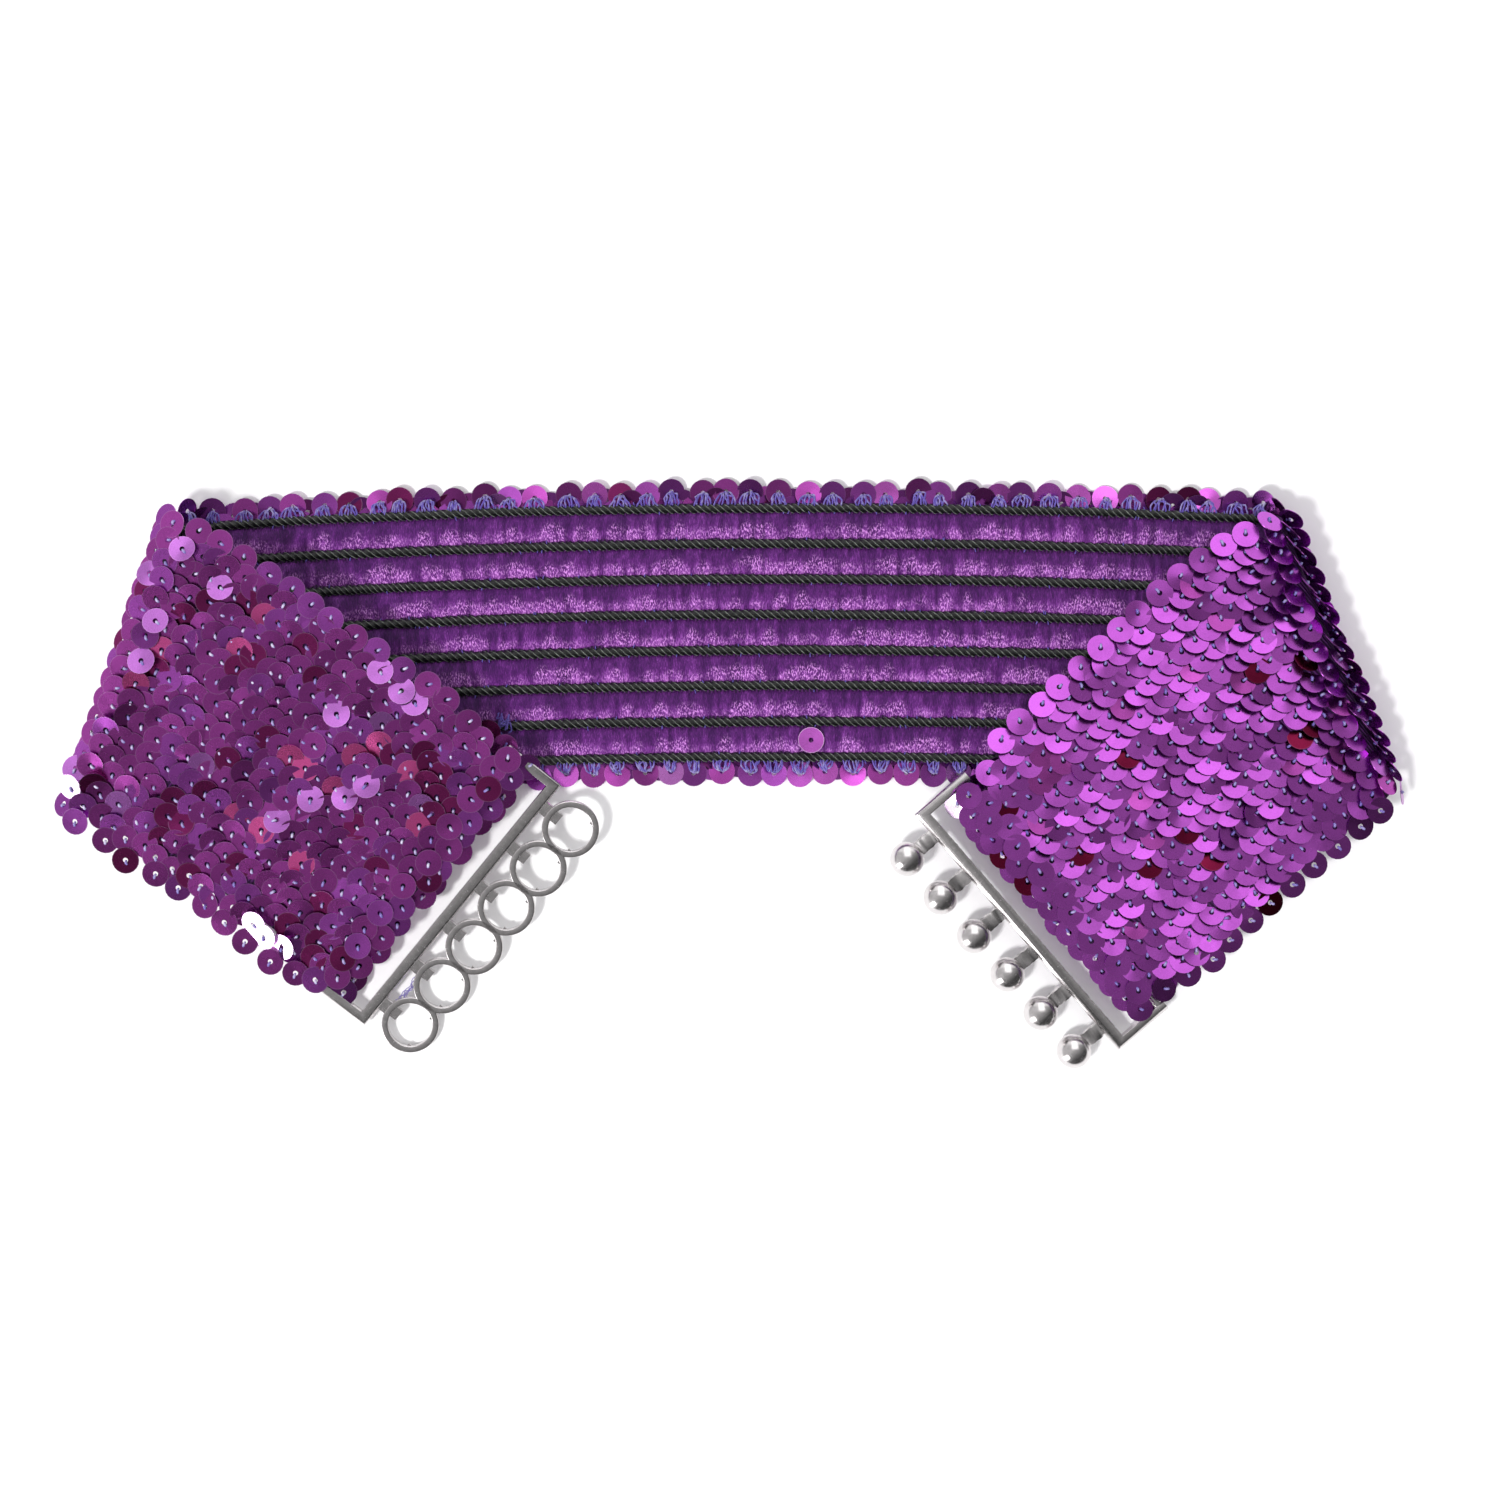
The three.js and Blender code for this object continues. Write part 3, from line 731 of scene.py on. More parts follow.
def sequin_edges(from_s, to_s, inset, offset):
    found = []
    for side in (-1, 1):
        start = math.ceil(from_s / EDGE_STEP) * EDGE_STEP + offset
        start += EDGE_SHIFT if side > 0 else 0
        s = np.arange(start, to_s, EDGE_STEP)
        above, below = edge_reach(s)
        v = side * (np.where(side > 0, above, below) - inset)
        found.append(np.stack([s, v, np.full(s.shape, side * (COLUMNS + 1.0))], -1))
    return np.concatenate(found)


def disc_rings(segments):
    half = SEQUIN_THICKNESS / 2
    section = [
        (SEQUIN_RADIUS, -half), (SEQUIN_RADIUS, half), (SEQUIN_HOLE, half), (SEQUIN_HOLE, -half),
    ]
    return np.array([
        [(r * math.cos(a), r * math.sin(a), h) for r, h in section] for a in angles_round(segments)
    ])


def discs(centre, face, along, segments, rng):
    """Slightly bent discs with their faces and one side turned as given; their rings of points."""
    count = len(centre)
    first = unit(along - face * np.sum(along * face, -1, keepdims=True))
    second = np.cross(face, first)
    spin = rng.random(count) * 2 * math.pi
    bend = (rng.random(count) - 0.5) * SEQUIN_BEND
    disc = disc_rings(segments)
    x, y, h = disc[..., 0], disc[..., 1], disc[..., 2]
    bent = x * np.cos(spin)[:, None, None] + y * np.sin(spin)[:, None, None]
    rise = h + 0.5 * bend[:, None, None] * bent**2
    grow = (1 + (rng.random(count) - 0.5) * SIZE_CHANGE)[:, None, None, None]
    rings = centre[:, None, None] + grow * (
        x[None, ..., None] * first[:, None, None]
        + y[None, ..., None] * second[:, None, None]
        + rise[..., None] * face[:, None, None]
    )
    lowest = rings[..., 2].min(axis=(1, 2))
    rings[..., 2] += np.maximum(ABOVE_TABLE - lowest, 0.0)[:, None, None]
    uv = np.broadcast_to(disc[None, ..., :2], (*rings.shape[:3], 2))
    return rings, uv, first, second


def sewn_sequins(
    name, places, segments, tilts, brush, wobble, lift, tints, seed, turned=(), settled=0.0,
    far_slope=1.0,
):
    """Discs at places (s, v), tipped up by tilts towards +s, that turned by brush to +v.
    settled is how far those on the loops lie back to level, and far_slope is the most that level
    ones slope to the far side. turned lists single discs: x, y, their slopes to the right and far
    if they lie another way, and their colour."""
    rng = np.random.default_rng(seed)
    middle, along, across, normal = band_frame(places[:, 0], places[:, 1])
    tilt, turn = np.radians(tilts)[:, None], np.radians(brush)[:, None]
    loose = np.tan(np.radians(rng.normal(0.0, wobble, (2, len(places), 1))))
    raised = along * np.cos(turn) + across * np.sin(turn)
    face = -normal * np.cos(tilt) - raised * np.sin(tilt) + along * loose[0] + across * loose[1]
    face = unit(face)
    centre = middle - normal * (WALL / 2 - lift)[:, None]
    on_loop_side = normal[:, 2:] < 0.35
    settled = np.broadcast_to(settled, len(places))[:, None] * on_loop_side
    face = unit(face * (1 - settled) + settled * [0.0, 0.0, 1.0])
    centre = centre - normal * settled * LOOP_STAND
    lean = np.linalg.norm(face[:, :2], axis=-1)
    steep = (face[:, 2] > 0.15) & (lean > MOST_LEAN) & (far_slope < 1.0)
    face[steep, :2] *= MOST_LEAN / lean[steep, None]
    face[steep, 2] = math.sqrt(1 - MOST_LEAN**2)
    level = np.abs(face[:, 2]) > 0.6
    far_side = np.minimum(face[:, 1] / face[:, 2], far_slope) * face[:, 2]
    face[:, 1] = np.where(level, far_side, face[:, 1])
    to_box = np.array([BOX_RIGHT, BOX_FAR])
    glare = level * np.maximum(face[:, :2] @ to_box - MOST_TO_BOX, 0.0)
    face[:, :2] -= glare[:, None] * to_box
    face = unit(face)
    hidden = np.where(face[:, 2] > 0.6, 0.0, 1e6)
    for x, y, slopes, color in turned:
        nearest = np.argmin((centre[:, 0] - x) ** 2 + (centre[:, 1] - y) ** 2 + hidden)
        tints[nearest, :3] = color
        if slopes:
            face[nearest] = unit(np.array([*slopes, 1.0]))
            centre[nearest, 2] += 0.1 + 2.2 * abs(slopes[1])
        hidden[nearest] = 1e6
    rings, uv, first, second = discs(centre, face, raised, segments, rng)
    tint = np.broadcast_to(tints[:, None, None, :], (*rings.shape[:3], 4))
    sequins = new_piece(
        name, rings, lofted(rings, closed=True), sequin_film, uv=uv, tint=tint, crease=30
    )
    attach(sequins, "band")
    return rings.mean(axis=(1, 2)), face, first, second


VIOLET, PLUM, WINE = (0.465, 0.098, 0.550), (0.450, 0.078, 0.430), (0.260, 0.026, 0.150)
LILAC, GARNET = (0.500, 0.170, 0.600), (0.170, 0.008, 0.040)
# The coral and glare colours are a painted reflection and a painted highlight on single sequins
CORAL_PAINTED_REFLECTION, GLARE = (1.000, 0.145, 0.500), (0.850, 0.640, 0.900)


# Each film colour's alpha is the strength of the sequin's painted rim highlight
def film_colors(rng, count, shares, rim_highlight_strength=0.1):
    """A film colour for each sequin: shares of violet, plum, wine, lilac and garnet."""
    palette = np.array([VIOLET, PLUM, WINE, LILAC, GARNET])
    pick = rng.choice(len(palette), size=count, p=np.array(shares) / sum(shares))
    color = palette[pick] * (0.86 + 0.28 * rng.random((count, 1)))
    return np.concatenate([color, np.full((count, 1), rim_highlight_strength)], -1)


def sequin_end(name, from_s, to_s, shares, rim_highlight_strength, lie, jitter, wobble, turned, seed):
    rng = np.random.default_rng(seed)
    tilt, brush, roll_tilt, reach, far_slope = lie
    inner = sequin_columns(from_s, to_s)
    outer = sequin_edges(from_s, to_s, EDGE_IN, 0.0)
    places = np.concatenate([inner, outer])
    count = len(places)
    places[:, 0] += (rng.random(count) - 0.5) * jitter
    places[:, 1] += (rng.random(count) - 0.5) * jitter * 0.7
    near = near_roll(places[:, 0], places[:, 1], reach)
    at_edge = (np.abs(places[:, 2]) > COLUMNS) & ((places[:, 2] < 0) | (brush > 0))
    # Some lie half flat, more of them near the inner bar
    past = past_inner_bar(places[:, 0], places[:, 1])
    half_flat = rng.random(count) < 0.22 + 0.34 * smooth_step((past + 32) / 26)
    tilts = tilt * np.where(at_edge, EDGE_TILT, np.where(half_flat, HALF_FLAT_TILT, 1.0))
    if brush < 0:
        # The right roll's lower corner is pressed flat
        corner = smooth_step((-places[:, 1] - 18) / 8) * near_roll(*places[:, :2].T, 42.0)
        tilts = tilts * (1 - 0.8 * smooth_step(corner * 2))
    tilts = tilts + (roll_tilt - tilt) * near * np.where(at_edge, 0.5, 1.0)
    tilts = tilts + rng.normal(0.0, wobble, count)
    brushed = (brush + rng.normal(0.0, 14.0, count)) * (1 - 0.7 * near)
    brushed = np.where(at_edge, -np.sign(places[:, 2]) * 60.0, brushed)
    # On the rolls they stand off the cloth; round the inner bars they lie back to level
    lift = SEQUIN_LIFT - ROLL_STAND * near + (rng.random(count) - 0.5) * 0.2
    tints = film_colors(rng, count, shares, rim_highlight_strength)
    # Painted shade: the outermost sequins on the lower edge are painted darker
    shaded_lower_edge = at_edge & (places[:, 2] < 0)
    tints[:, :3] *= np.where(shaded_lower_edge, 0.72, 1.0)[:, None]
    settled = 0.85 * smooth_step((past + 2) / 3) * (1 - smooth_step((past - 6.5) / 2))
    settled = settled * (0.8 + 0.2 * rng.random(count))
    return sewn_sequins(
        name, places, 20, tilts, brushed, wobble, lift, tints, seed + 1, turned, settled, far_slope
    )


# Single sequins that lie turned to the soft box, to the far wall, or half to it. Those turned to
# the soft box reflect it, made whiter by the pale glare colour, a painted highlight; the coral
# ones keep their lie and get a coral colour, a painted reflection of the far wall.
HOT, WARM, HALF_WARM = (-0.43, -0.36), (-0.05, 0.30), (-0.02, 0.20)
LEFT_TURNED = [
    *[(x, y, HOT, GLARE) for x, y in (
        (-155.1, -4.0), (-113.0, -35.4), (-107.6, -39.1), (-103.5, -38.9),
    )],
    *[(x, y, WARM, LILAC) for x, y in (
        (-127.2, 52.6), (-133.3, 45.9), (-134.4, 35.2), (-135.6, 24.3), (-153.0, 1.0),
    )],
    *[(x, y, HALF_WARM, LILAC) for x, y in (
        (-117.5, 44.7), (-82.6, 24.3), (-77.3, 21.3), (-73.8, 17.6), (-91.0, 15.0),
        (-85.2, -2.6), (-88.4, -5.7), (-95.6, -5.9), (-106.5, -8.9),
    )],
    # Painted reflection: these keep their lie, only their colour turns coral
    *[(x, y, None, CORAL_PAINTED_REFLECTION) for x, y in (
        (-106.5, 37.6), (-115.8, 28.5), (-132.1, 28.5), (-138.8, 20.1), (-102.4, 6.7),
        (-87.7, 5.0), (-80.5, 5.7), (-97.3, 1.5), (-93.5, -1.0), (-114.9, -8.0),
        (-110.2, -12.6), (-73.4, -1.7), (-74.3, -11.0), (-99.0, -20.0),
    )],
]
RIGHT_TURNED = [(49.8, -6.0, HOT, GLARE)]

left_cut, right_cut = cut_line(LEFT)[0], cut_line(RIGHT)[0]
left_fold = left_roll_start[0] + 6.0
right_fold = right_roll_start[0] - 6.0
left_sewn = sequin_end(
    "sequins_left_end", left_cut + 2, left_fold, (24, 68, 7, 1, 0), 0.35, LEFT_LIE, 1.9, 3.2,
    LEFT_TURNED, 101,
)
right_sewn = sequin_end(
    "sequins_right_end", right_fold, right_cut - 2, (92, 5, 0, 0, 3), 0.06, RIGHT_LIE, 1.3, 2.8,
    RIGHT_TURNED, 201,
)

# Those under the back, which the photograph doesn't show, are simpler discs
rng = np.random.default_rng(301)
under = sequin_columns(left_fold, right_fold)
under[:, :2] += rng.random((len(under), 2)) - 0.5
count = len(under)
sewn_sequins(
    "sequins_under_back", under, 10, SHINGLE_TILT + rng.normal(0.0, 2.0, count),
    np.zeros(count), 2.0, np.full(count, SEQUIN_LIFT),
    film_colors(rng, count, (70, 25, 5, 0, 0)), 302,
)

# Along the back's edges the outermost ones peep out. About two in five have their film colour
# painted 1.9 times brighter, a painted highlight as if turned to the light, and the darker ones
# between and below them are painted at half brightness, painted shade.
fringe = sequin_edges(left_fold, right_fold, EDGE_IN, 0.0)
between = sequin_edges(left_fold, right_fold, BETWEEN_IN, EDGE_STEP / 2)
edge_places = np.concatenate([fringe, between])
count = len(edge_places)
edge_places[:, 0] += (rng.random(count) - 0.5) * 1.8
edge_places[:, 1] += (rng.random(count) - 0.5) * 0.9
edge_lifts = np.repeat([PEEP_LIFT, BETWEEN_LIFT], [len(fringe), len(between)])
edge_lean = np.sign(edge_places[:, 2])
edge_tints = film_colors(rng, count, (64, 24, 10, 2, 0), 0.2)
painted_highlight_scale = np.where(rng.random(count) < 0.4, 1.9, 0.55 + 0.5 * rng.random(count))
# Painted highlight on some outermost ones, painted shade on those between and below
edge_tints[:, :3] *= np.where(np.arange(count) < len(fringe), painted_highlight_scale, 0.5)[:, None]
edge_tints[:, :3] = np.minimum(edge_tints[:, :3], 0.95)
sewn_sequins(
    "sequins_back_edges", edge_places, 22, 6.0 + rng.normal(0.0, 7.0, count), -90.0 * edge_lean,
    3.0, edge_lifts, edge_tints, 303, far_slope=0.12,
)

# Loose sequin: one disc of the same film has come off its thread. It lies face up on the woven
# back, near the middle of its lower edge, tipped a little where it rests on the pile.
loose_rings, loose_uv, _, _ = discs(
    np.array([[18.6, 8.3, 4.15]]), unit(np.array([[0.05, 0.16, 1.0]])),
    np.array([[1.0, 0.2, 0.0]]), 24, np.random.default_rng(41),
)
loose_tint = np.broadcast_to(np.array([0.52, 0.12, 0.56, 1.0]), (*loose_rings.shape[:3], 4))
loose_sequin = new_piece(
    "loose_sequin", loose_rings, lofted(loose_rings, closed=True), sequin_film,
    uv=loose_uv, tint=loose_tint, crease=30,
)
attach(loose_sequin, "band")

# Sewing thread: two-ply violet-blue polyester. Each sequin is held by one short stitch that comes
# up through its hole and goes down under the sequin behind it.
THREAD_RADIUS = 0.2

thread_lilac, tree, shader = new_material("thread_lilac", (0.36, 0.30, 0.78), 0.42)
ply = add_node(
    tree, "TexWave", {"Vector": own_place(tree), "Scale": 2.2, "Distortion": 0.8},
    wave_type="BANDS", bands_direction="DIAGONAL",
)["Fac"]
ply_color = color_ramp(tree, ply, (0.0, (0.040, 0.020, 0.230)), (1.0, (0.25, 0.18, 0.68)))
# The tint's share of near white is a painted highlight on stitches and fan tips, a uniformly paler
# colour elsewhere
set_inputs(tree, shader, {
    "Sheen Weight": 0.1,
    "Sheen Roughness": 0.3,
    "Sheen Tint": (0.75, 0.70, 1.0, 1),
    "Base Color": mixed_colors(tree, own_tint(tree)["Fac"], ply_color, (0.93, 0.90, 1.0)),
    "Normal": bump(tree, ply, 0.6, 0.00012),
})


def smooth_paths(knots, between):
    """Smooth curves through knots, (curves, knots, 3), with so many steps between two knots."""
    ends = [knots[:, :1] * 2 - knots[:, 1:2], knots, knots[:, -1:] * 2 - knots[:, -2:-1]]
    k = np.concatenate(ends, axis=1)
    t = (np.arange(between) / between)[None, None, :, None]
    a, b, c, d = (k[:, i : i + knots.shape[1] - 1, None] for i in range(4))
    path = 0.5 * (2 * b + (c - a) * t + (2 * a - 5 * b + 4 * c - d) * t**2
                  + (3 * b - a - 3 * c + d) * t**3)
    return np.concatenate([path.reshape(len(knots), -1, 3), knots[:, -1:]], axis=1)


def thread_piece(name, groups, body="band"):
    """One piece of thread from groups of (paths, direction up, radius, sides, how pale)."""
    lofts, uvs, tints = [], [], []
    for paths, up, radius, sides, pale in groups:
        tangent = unit(np.gradient(paths, axis=1))
        side = unit(np.cross(tangent, np.asarray(up)[:, None]))
        lift = np.cross(side, tangent)
        angle = angles_round(sides)
        cosine, sine = np.cos(angle)[:, None], np.sin(angle)[:, None]
        rings = paths[:, :, None] + radius * (cosine * side[:, :, None] + sine * lift[:, :, None])
        rings[..., 2] = np.maximum(rings[..., 2], ABOVE_TABLE + 0.01)
        run = np.cumsum(np.linalg.norm(np.diff(paths, axis=1, prepend=paths[:, :1]), axis=-1), 1)
        around = np.broadcast_to(np.arange(sides) / sides, rings.shape[:3])
        run = np.broadcast_to(run[..., None], around.shape)
        uvs.append(np.stack([run, around], -1).reshape(-1, 2))
        # how pale: the share of near white, a painted highlight
        tint = np.broadcast_to(np.asarray(pale)[..., None, None], (*around.shape, 4))
        tints.append(tint.reshape(-1, 4))
        lofts.append((rings, False))
    uv, tint = np.concatenate(uvs), np.concatenate(tints)
    thread = new_piece(name, *joined(lofts), thread_lilac, uv=uv, tint=tint, crease=80)
    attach(thread, body)


STITCH_ALONG = np.array([-0.22, -0.36, -0.60, -0.84, -1.02])
STITCH_UP = np.array([-0.25, 0.22, 0.36, 0.22, -0.20])


def sequin_stitches(name, sewn, highlight_paleness, seed):
    centre, face, first, second = sewn
    rng = np.random.default_rng(seed)
    swing = rng.normal(0.0, 0.45, len(centre))
    toward = first * np.cos(swing)[:, None] + second * np.sin(swing)[:, None]
    reach = (0.8 + 0.5 * rng.random(len(centre)))[:, None, None]
    knots = centre[:, None] + reach * STITCH_ALONG[None, :, None] * toward[:, None]
    knots = knots + STITCH_UP[None, :, None] * face[:, None]
    # Painted highlight: each stitch is paler along its raised middle
    pale = highlight_paleness * (0.15 + rng.random((len(centre), 1))) * [0.1, 0.6, 0.6, 0.3, 0.0]
    thread_piece(name, [(knots, face, THREAD_RADIUS + 0.12, 5, pale)])


sequin_stitches("stitches_left_end", left_sewn, 1.0, 51)
sequin_stitches("stitches_right_end", right_sewn, 0.45, 52)

# Edge fans: on the back stretch each outermost sequin hangs from seven threads that spread from
# its hole to the outer cord, like a small shell.
FAN_THREADS, FAN_HALF = 7, 1.9
FAN_SPREAD = np.array([1.0, 1.1, 1.0, 0.72, 0.36, 0.1])
FAN_OUT = np.array([-3.6, -2.7, -1.5, -0.6, -0.1, -0.2])
FAN_UP = np.array([2.3, 2.9, 3.15, 2.85, 2.15, 0.9])

rng = np.random.default_rng(61)
fan_at = edge_places[: len(fringe)]
side = np.sign(fan_at[:, 2])
knots = []
width = FAN_HALF * (0.65 + 0.45 * rng.random((len(fan_at), 1)))
for thread in np.linspace(-1.0, 1.0, FAN_THREADS):
    wobble = rng.normal(0.0, 0.26, (len(fan_at), len(FAN_OUT)))
    s = fan_at[:, 0:1] + thread * width * FAN_SPREAD + wobble
    v = fan_at[:, 1:2] + side[:, None] * (FAN_OUT - 0.2 * abs(thread) + 0.6 * wobble)
    w = np.broadcast_to(FAN_UP, s.shape) + rng.normal(0.0, 0.1, s.shape)
    knots.append(in_band(s, v, w))
fan_paths = smooth_paths(np.concatenate(knots), 2)
up = np.tile([0.05, 0.0, 1.0], (len(fan_paths), 1))
# Painted highlight: fan threads grow paler towards the hole, with random paleness besides
painted_highlight_at_hole = np.linspace(-0.3, 0.92, fan_paths.shape[1]) ** 3
pale = rng.random(fan_paths.shape[:2]) * 0.6 - 0.35 + painted_highlight_at_hole
thread_piece("edge_fans", [(fan_paths, up, THREAD_RADIUS, 4, np.clip(pale, 0.0, 1.0))])

# Back stitches: where the sequins' thread crosses the back, short bits of it show beside the
# cords. A few loose ends lie at the corner of the left end, beside its loop.
BACK_BITS, LOOSE_ENDS = 260, 9
LOOSE_AT = np.array([-53.5, 12.6, 4.6])


def back_bits():
    rng = np.random.default_rng(71)
    cord = rng.integers(0, CORD_COUNT, BACK_BITS)
    which_side = np.where(rng.random(BACK_BITS) < 0.5, -1, 1)
    v = cord_middles()[cord] + which_side * (0.95 + 0.25 * rng.random(BACK_BITS))
    from_s, to_s = left_roll_start[0] + 12, right_roll_start[0] - 12
    s = from_s + rng.random(BACK_BITS) * (to_s - from_s)
    up = band_frame(s, v)[3]
    run = (rng.random(BACK_BITS) - 0.5) * 0.9
    share = np.array([-0.5, 0.0, 0.5])
    s = s[:, None] + share * run[:, None]
    v = v[:, None] + share * (0.7 + 0.5 * rng.random(BACK_BITS))[:, None]
    w = np.broadcast_to([2.5, 3.1, 2.5], s.shape) + 0.15 * rng.random((BACK_BITS, 1))
    return in_band(s, v, w), up, 0.13, 4, 0.0


def loose_ends():
    rng = np.random.default_rng(72)
    start = LOOSE_AT + rng.normal(0.0, 1.0, (LOOSE_ENDS, 1, 3)) * [1.0, 1.3, 0.25]
    steps = rng.normal(0.0, 1.0, (LOOSE_ENDS, 5, 3)) * [0.9, 1.3, 0.25]
    paths = start + np.cumsum(steps, axis=1)
    paths[..., 2] = np.maximum(paths[..., 2], 3.9)
    return smooth_paths(paths, 3), np.tile([0.03, 0.02, 1.0], (LOOSE_ENDS, 1)), 0.17, 4, 0.0


thread_piece("loose_thread", [back_bits(), loose_ends()])

# Clasp, ring half: cast nickel-silver, with two arms and an outer bar round the end loop, an
# inner bar through it, and six rings on short necks, each with a small catch inside.
CLASP_LENGTH, INNER_BAR_RADIUS, OUTER_BAR_AT = 73.8, 1.1, 12.5
ARM_WIDTH, ARM_PAST_BAR = 2.3, 1.4
FASTENER_PLACES = [(i - 2.5) * 12.05 for i in range(6)]
FASTENER_AT, FLOOR_GAP = 22.1, 0.12
RING_INNER, RING_OUTER, RING_HEIGHT = 5.2, 6.75, 1.9
NECK_HALF, CATCH_HALF = 1.65, 1.45
PIP_TURNS, PIP_IN = (-55, 55), 0.12

nickel, tree, shader = new_material("nickel", (0.66, 0.645, 0.635), 0.2, 1.0)
cast = fine_noise(tree, 900.0, 4.0)
set_inputs(tree, shader, {
    "Base Color": color_ramp(tree, cast, (0.0, (0.58, 0.555, 0.555)), (1.0, (0.84, 0.81, 0.81))),
    "Roughness": rescaled(tree, cast, 0.12, 0.34),
    "Normal": bump(tree, cast, 0.06, 0.0001),
})


def clasp_stand(end, reach_below, reach_out):
    """Where a half lies: on its inner bar, sloping down until its lowest fastener touches."""
    low, high = end.bar_z
    rise = math.atan((high - low) / (2 * LOOP_HALF_WIDTH))
    drop = bar_height(end, FASTENER_PLACES[0]) - reach_below - FLOOR_GAP
    turn = Matrix.Rotation(end.heading, 4, "Z")
    turn = turn @ Matrix.Rotation(-end.side * rise, 4, "X")
    turn = turn @ Matrix.Rotation(math.asin(drop / reach_out), 4, "Y")
    return Matrix.Translation((*end.bar, bar_height(end, 0.0))) @ turn


def rounded_section(low, high, bottom, top, radius, steps=2):
    """Points round a rectangle with rounded corners, as (across, up)."""
    points = []
    corners = ((high, top, 0), (low, top, 90), (low, bottom, 180), (high, bottom, 270))
    for x, z, start in corners:
        cx = x - radius if x == high else x + radius
        cz = z - radius if z == top else z + radius
        for i in range(steps + 1):
            a = math.radians(start + 90 * i / steps)
            points.append((cx + radius * math.cos(a), cz + radius * math.sin(a)))
    return points


def clasp_frame(bar_width, height, bevel, outer_bevel):
    """Outer bar and the two arms as one bent bar with mitred corners."""
    outside, inside = OUTER_BAR_AT + bar_width / 2, OUTER_BAR_AT - bar_width / 2
    half, top = CLASP_LENGTH / 2, height / 2
    section = [
        (0.0, -top + bevel), (bevel, -top), (bar_width - bevel, -top), (bar_width, -top + bevel),
        (bar_width, top - outer_bevel), (bar_width - 0.12, top - outer_bevel + 0.16),
        (bar_width - outer_bevel, top - 0.05), (bar_width - outer_bevel - 0.15, top),
        (bevel, top), (bevel * 0.3, top - bevel * 0.3), (0.0, top - bevel),
    ]
    stations = []
    for side, at_end in ((-1, True), (-1, False), (1, False), (1, True)):
        ring = []
        for across, up in section:
            share = across / bar_width
            x = -ARM_PAST_BAR if at_end else inside + (outside - inside) * share
            ring.append((x, side * (half - ARM_WIDTH * (1 - share)), up))
        stations.append(ring)
    return np.array(stations)[None]


def inner_bar():
    section = [
        (INNER_BAR_RADIUS * math.cos(a), INNER_BAR_RADIUS * math.sin(a)) for a in angles_round(24)
    ]
    half = (CLASP_LENGTH - ARM_WIDTH) / 2
    stations = [[(x, y, z) for x, z in section] for y in (-half, half)]
    return np.array(stations)[None]


def block(low, high, bevel):
    """A small cast block with rounded long edges, along x."""
    section = rounded_section(low[1], high[1], low[2], high[2], bevel)
    return np.array([[(x, y, z) for y, z in section] for x in (low[0], high[0])])[None]


def stood(points, stand):
    """Points of a clasp half, moved to where it lies."""
    return points @ np.array(stand.to_3x3()).T + np.array(stand.translation)


def cast_piece(name, lofts, stand, node, body):
    points, faces = joined(lofts)
    piece = new_piece(name, stood(points, stand), faces, nickel, crease=35)
    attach(piece, body)
    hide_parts(node)


def cast_ring(y):
    section = rounded_section(RING_INNER, RING_OUTER, -RING_HEIGHT / 2, RING_HEIGHT / 2, 0.26, 3)
    rings = [
        [(FASTENER_AT + r * math.cos(a), y + r * math.sin(a), z) for r, z in section]
        for a in angles_round(64)
    ]
    return np.array(rings)[None]


def pip(turn, y):
    """A small bump on a ring's inner wall."""
    x = FASTENER_AT + (RING_INNER - PIP_IN) * math.cos(math.radians(turn))
    y = y + (RING_INNER - PIP_IN) * math.sin(math.radians(turn))
    return block((x - 0.3, y - 0.3, -0.5), (x + 0.3, y + 0.3, 0.35), 0.12)


ring_lofts = [(clasp_frame(2.7, 2.2, 0.34, 0.55), False), (inner_bar(), False)]
for y in FASTENER_PLACES:
    neck = block((OUTER_BAR_AT, y - NECK_HALF, -0.75), (16.2, y + NECK_HALF, 0.75), 0.25)
    catch = block((16.4, y - CATCH_HALF, -0.85), (18.7, y + CATCH_HALF, 0.45), 0.2)
    ring_lofts += [(cast_ring(y), True), (neck, False), (catch, False)]
    ring_lofts += [(pip(turn, y), False) for turn in PIP_TURNS]
ring_stand = clasp_stand(LEFT, RING_HEIGHT / 2, FASTENER_AT + RING_OUTER)
cast_piece("clasp_ring_half", ring_lofts, ring_stand, "clasp_rings", "ring_half")

# Caught thread: a wisp of the violet thread hooked between the ring half's bar and its lowest
# rings, so it swings with them.
WISP_THREADS, WISP_KNOTS, WISP_AT, WISP_HALF = 6, 6, 16.6, 3.9

rng = np.random.default_rng(73)
shape = (WISP_THREADS, WISP_KNOTS)
between_rings = (FASTENER_PLACES[0] + FASTENER_PLACES[1]) / 2
wisps = np.stack([
    WISP_AT + 0.5 * rng.normal(0.0, 1.0, shape),
    between_rings + np.linspace(-WISP_HALF, WISP_HALF, WISP_KNOTS) + rng.normal(0.0, 0.3, shape),
    0.25 * rng.normal(0.0, 1.0, shape),
], -1)
wisps = smooth_paths(stood(wisps, ring_stand), 3)
up = np.tile([0.03, 0.02, 1.0], (WISP_THREADS, 1))
thread_piece("caught_thread", [(wisps, up, 0.1, 4, 0.15)], "ring_half")

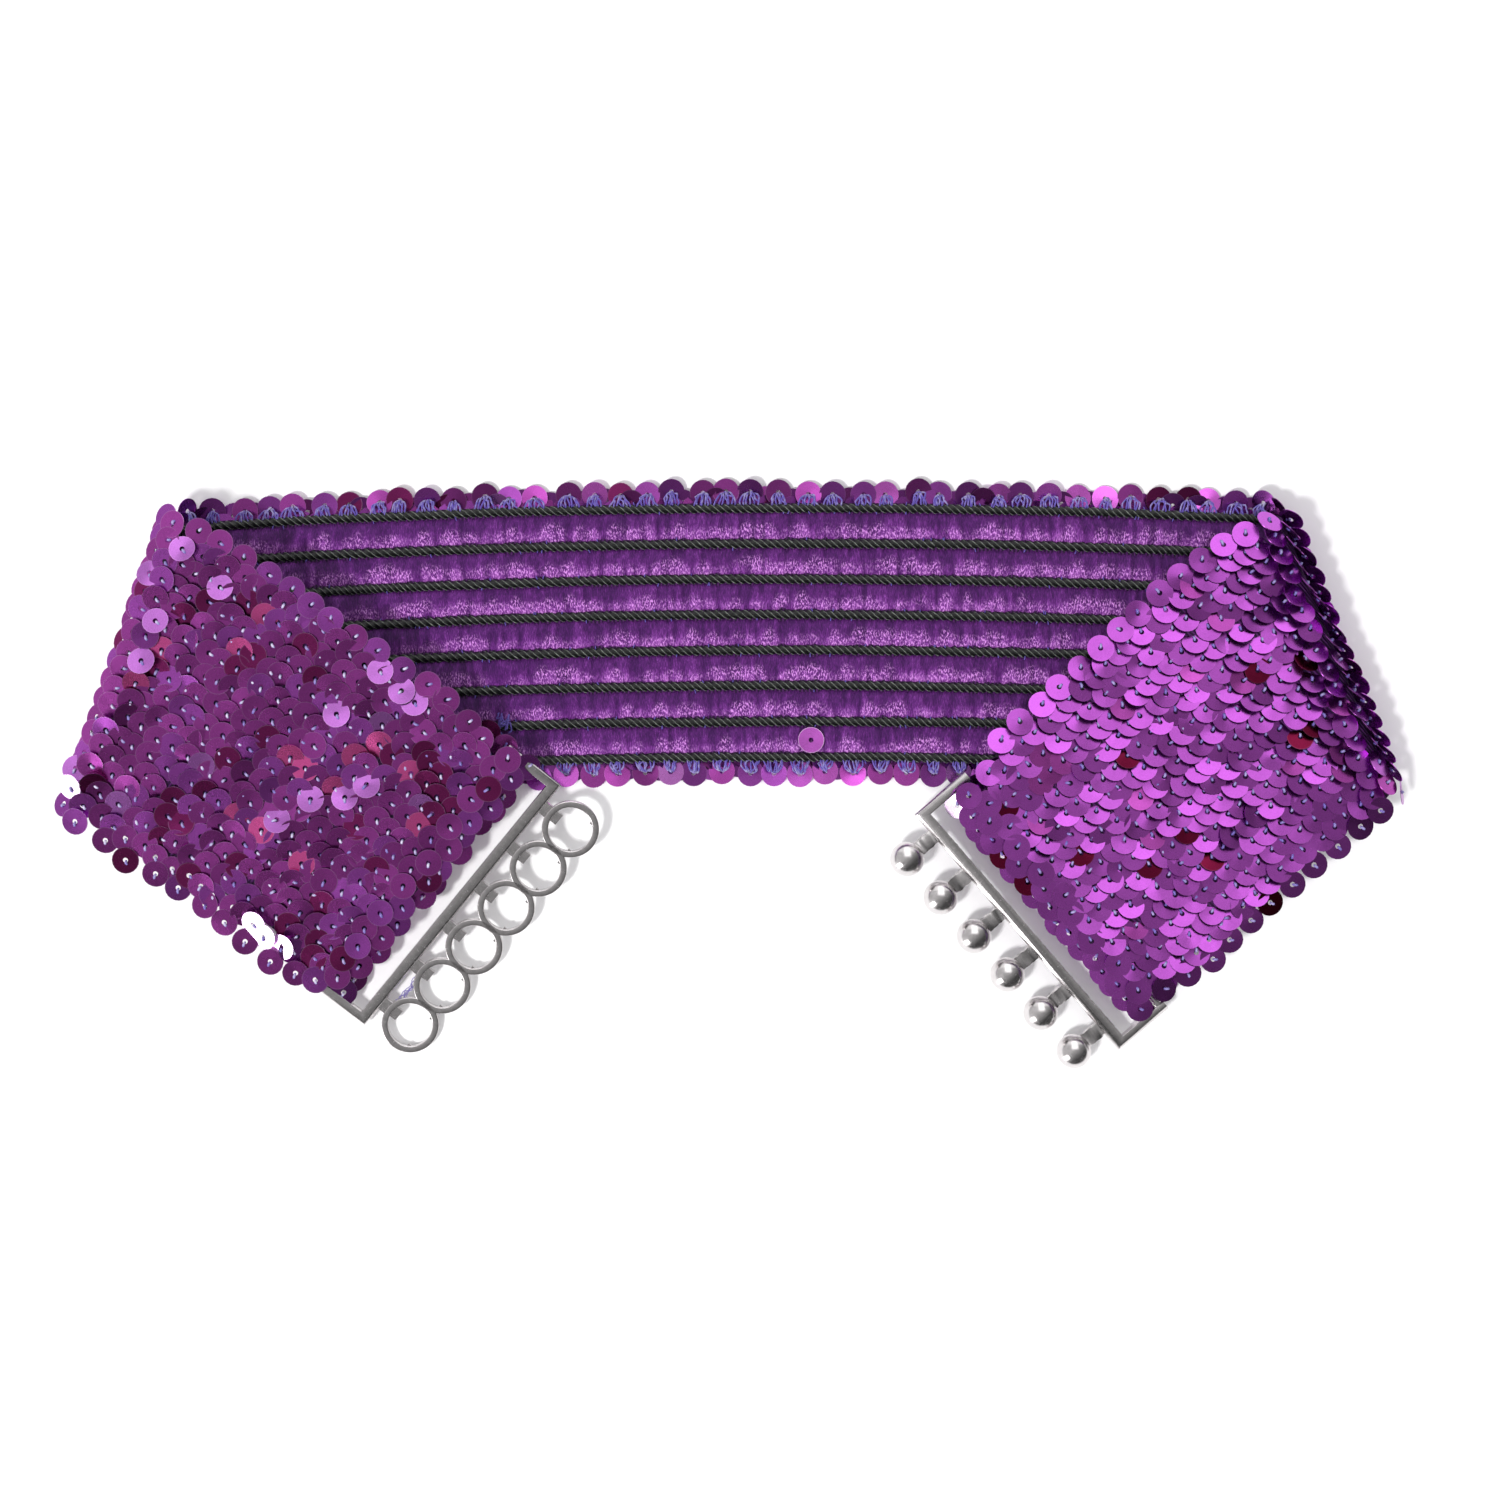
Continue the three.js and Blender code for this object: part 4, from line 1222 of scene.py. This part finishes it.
# Clasp, ball half: a like frame with chamfered bars and six polished balls, each on a rough low
# neck that runs from the outer bar into the ball.
BALL_RADIUS = 4.05
BALL_NECK_HALF, BALL_NECK_TO, NECK_ROUGHNESS = 1.8, 19.5, 0.09
BURR_HALF, BURR_OUT, BURR_RISE = 33.5, 0.16, 0.14


def cast_ball(y):
    stations, pole = [], math.pi / 2 - 0.02
    for up in np.linspace(-pole, pole, 25):
        r, z = BALL_RADIUS * math.cos(up), BALL_RADIUS * math.sin(up)
        stations.append([
            (FASTENER_AT + r * math.cos(a), y + r * math.sin(a), z) for a in angles_round(48)
        ])
    return np.array(stations)[None]


def rough_neck(y, rng):
    """A neck left as it came from the mould, lumpy all over."""
    low, high = y - BALL_NECK_HALF, y + BALL_NECK_HALF
    section = np.array(rounded_section(low, high, -1.3, 0.15, 0.3))
    stations = []
    for x in np.linspace(OUTER_BAR_AT, BALL_NECK_TO, 12):
        lumpy = section + rng.normal(0.0, NECK_ROUGHNESS, section.shape)
        stations.append([(x, across, up) for across, up in lumpy])
    return np.array(stations)[None]


def burr(from_x, to_x, top, rng):
    """A thin ragged edge of metal left along the bar."""
    stations = []
    for y in np.linspace(-BURR_HALF, BURR_HALF, 90):
        out, rise = BURR_OUT * rng.random(), BURR_RISE * rng.random()
        stations.append([
            (from_x - out, y, top - 0.3), (from_x - out, y, top + rise * 0.5),
            ((from_x + to_x) / 2, y, top + 0.03 + rise),
            (to_x, y, top - 0.06), (to_x, y, top - 0.3),
        ])
    return np.array(stations)[None]


rng = np.random.default_rng(91)
ball_lofts = [
    (clasp_frame(3.0, 2.4, 0.3, 1.15), False),
    (inner_bar(), False),
    (burr(OUTER_BAR_AT - 1.42, OUTER_BAR_AT - 1.26, 1.16, rng), False),
]
for y in FASTENER_PLACES:
    ball_lofts += [(cast_ball(y), False), (rough_neck(y, rng), False)]
cast_piece(
    "clasp_ball_half", ball_lofts, clasp_stand(RIGHT, BALL_RADIUS, FASTENER_AT),
    "clasp_balls", "ball_half",
)
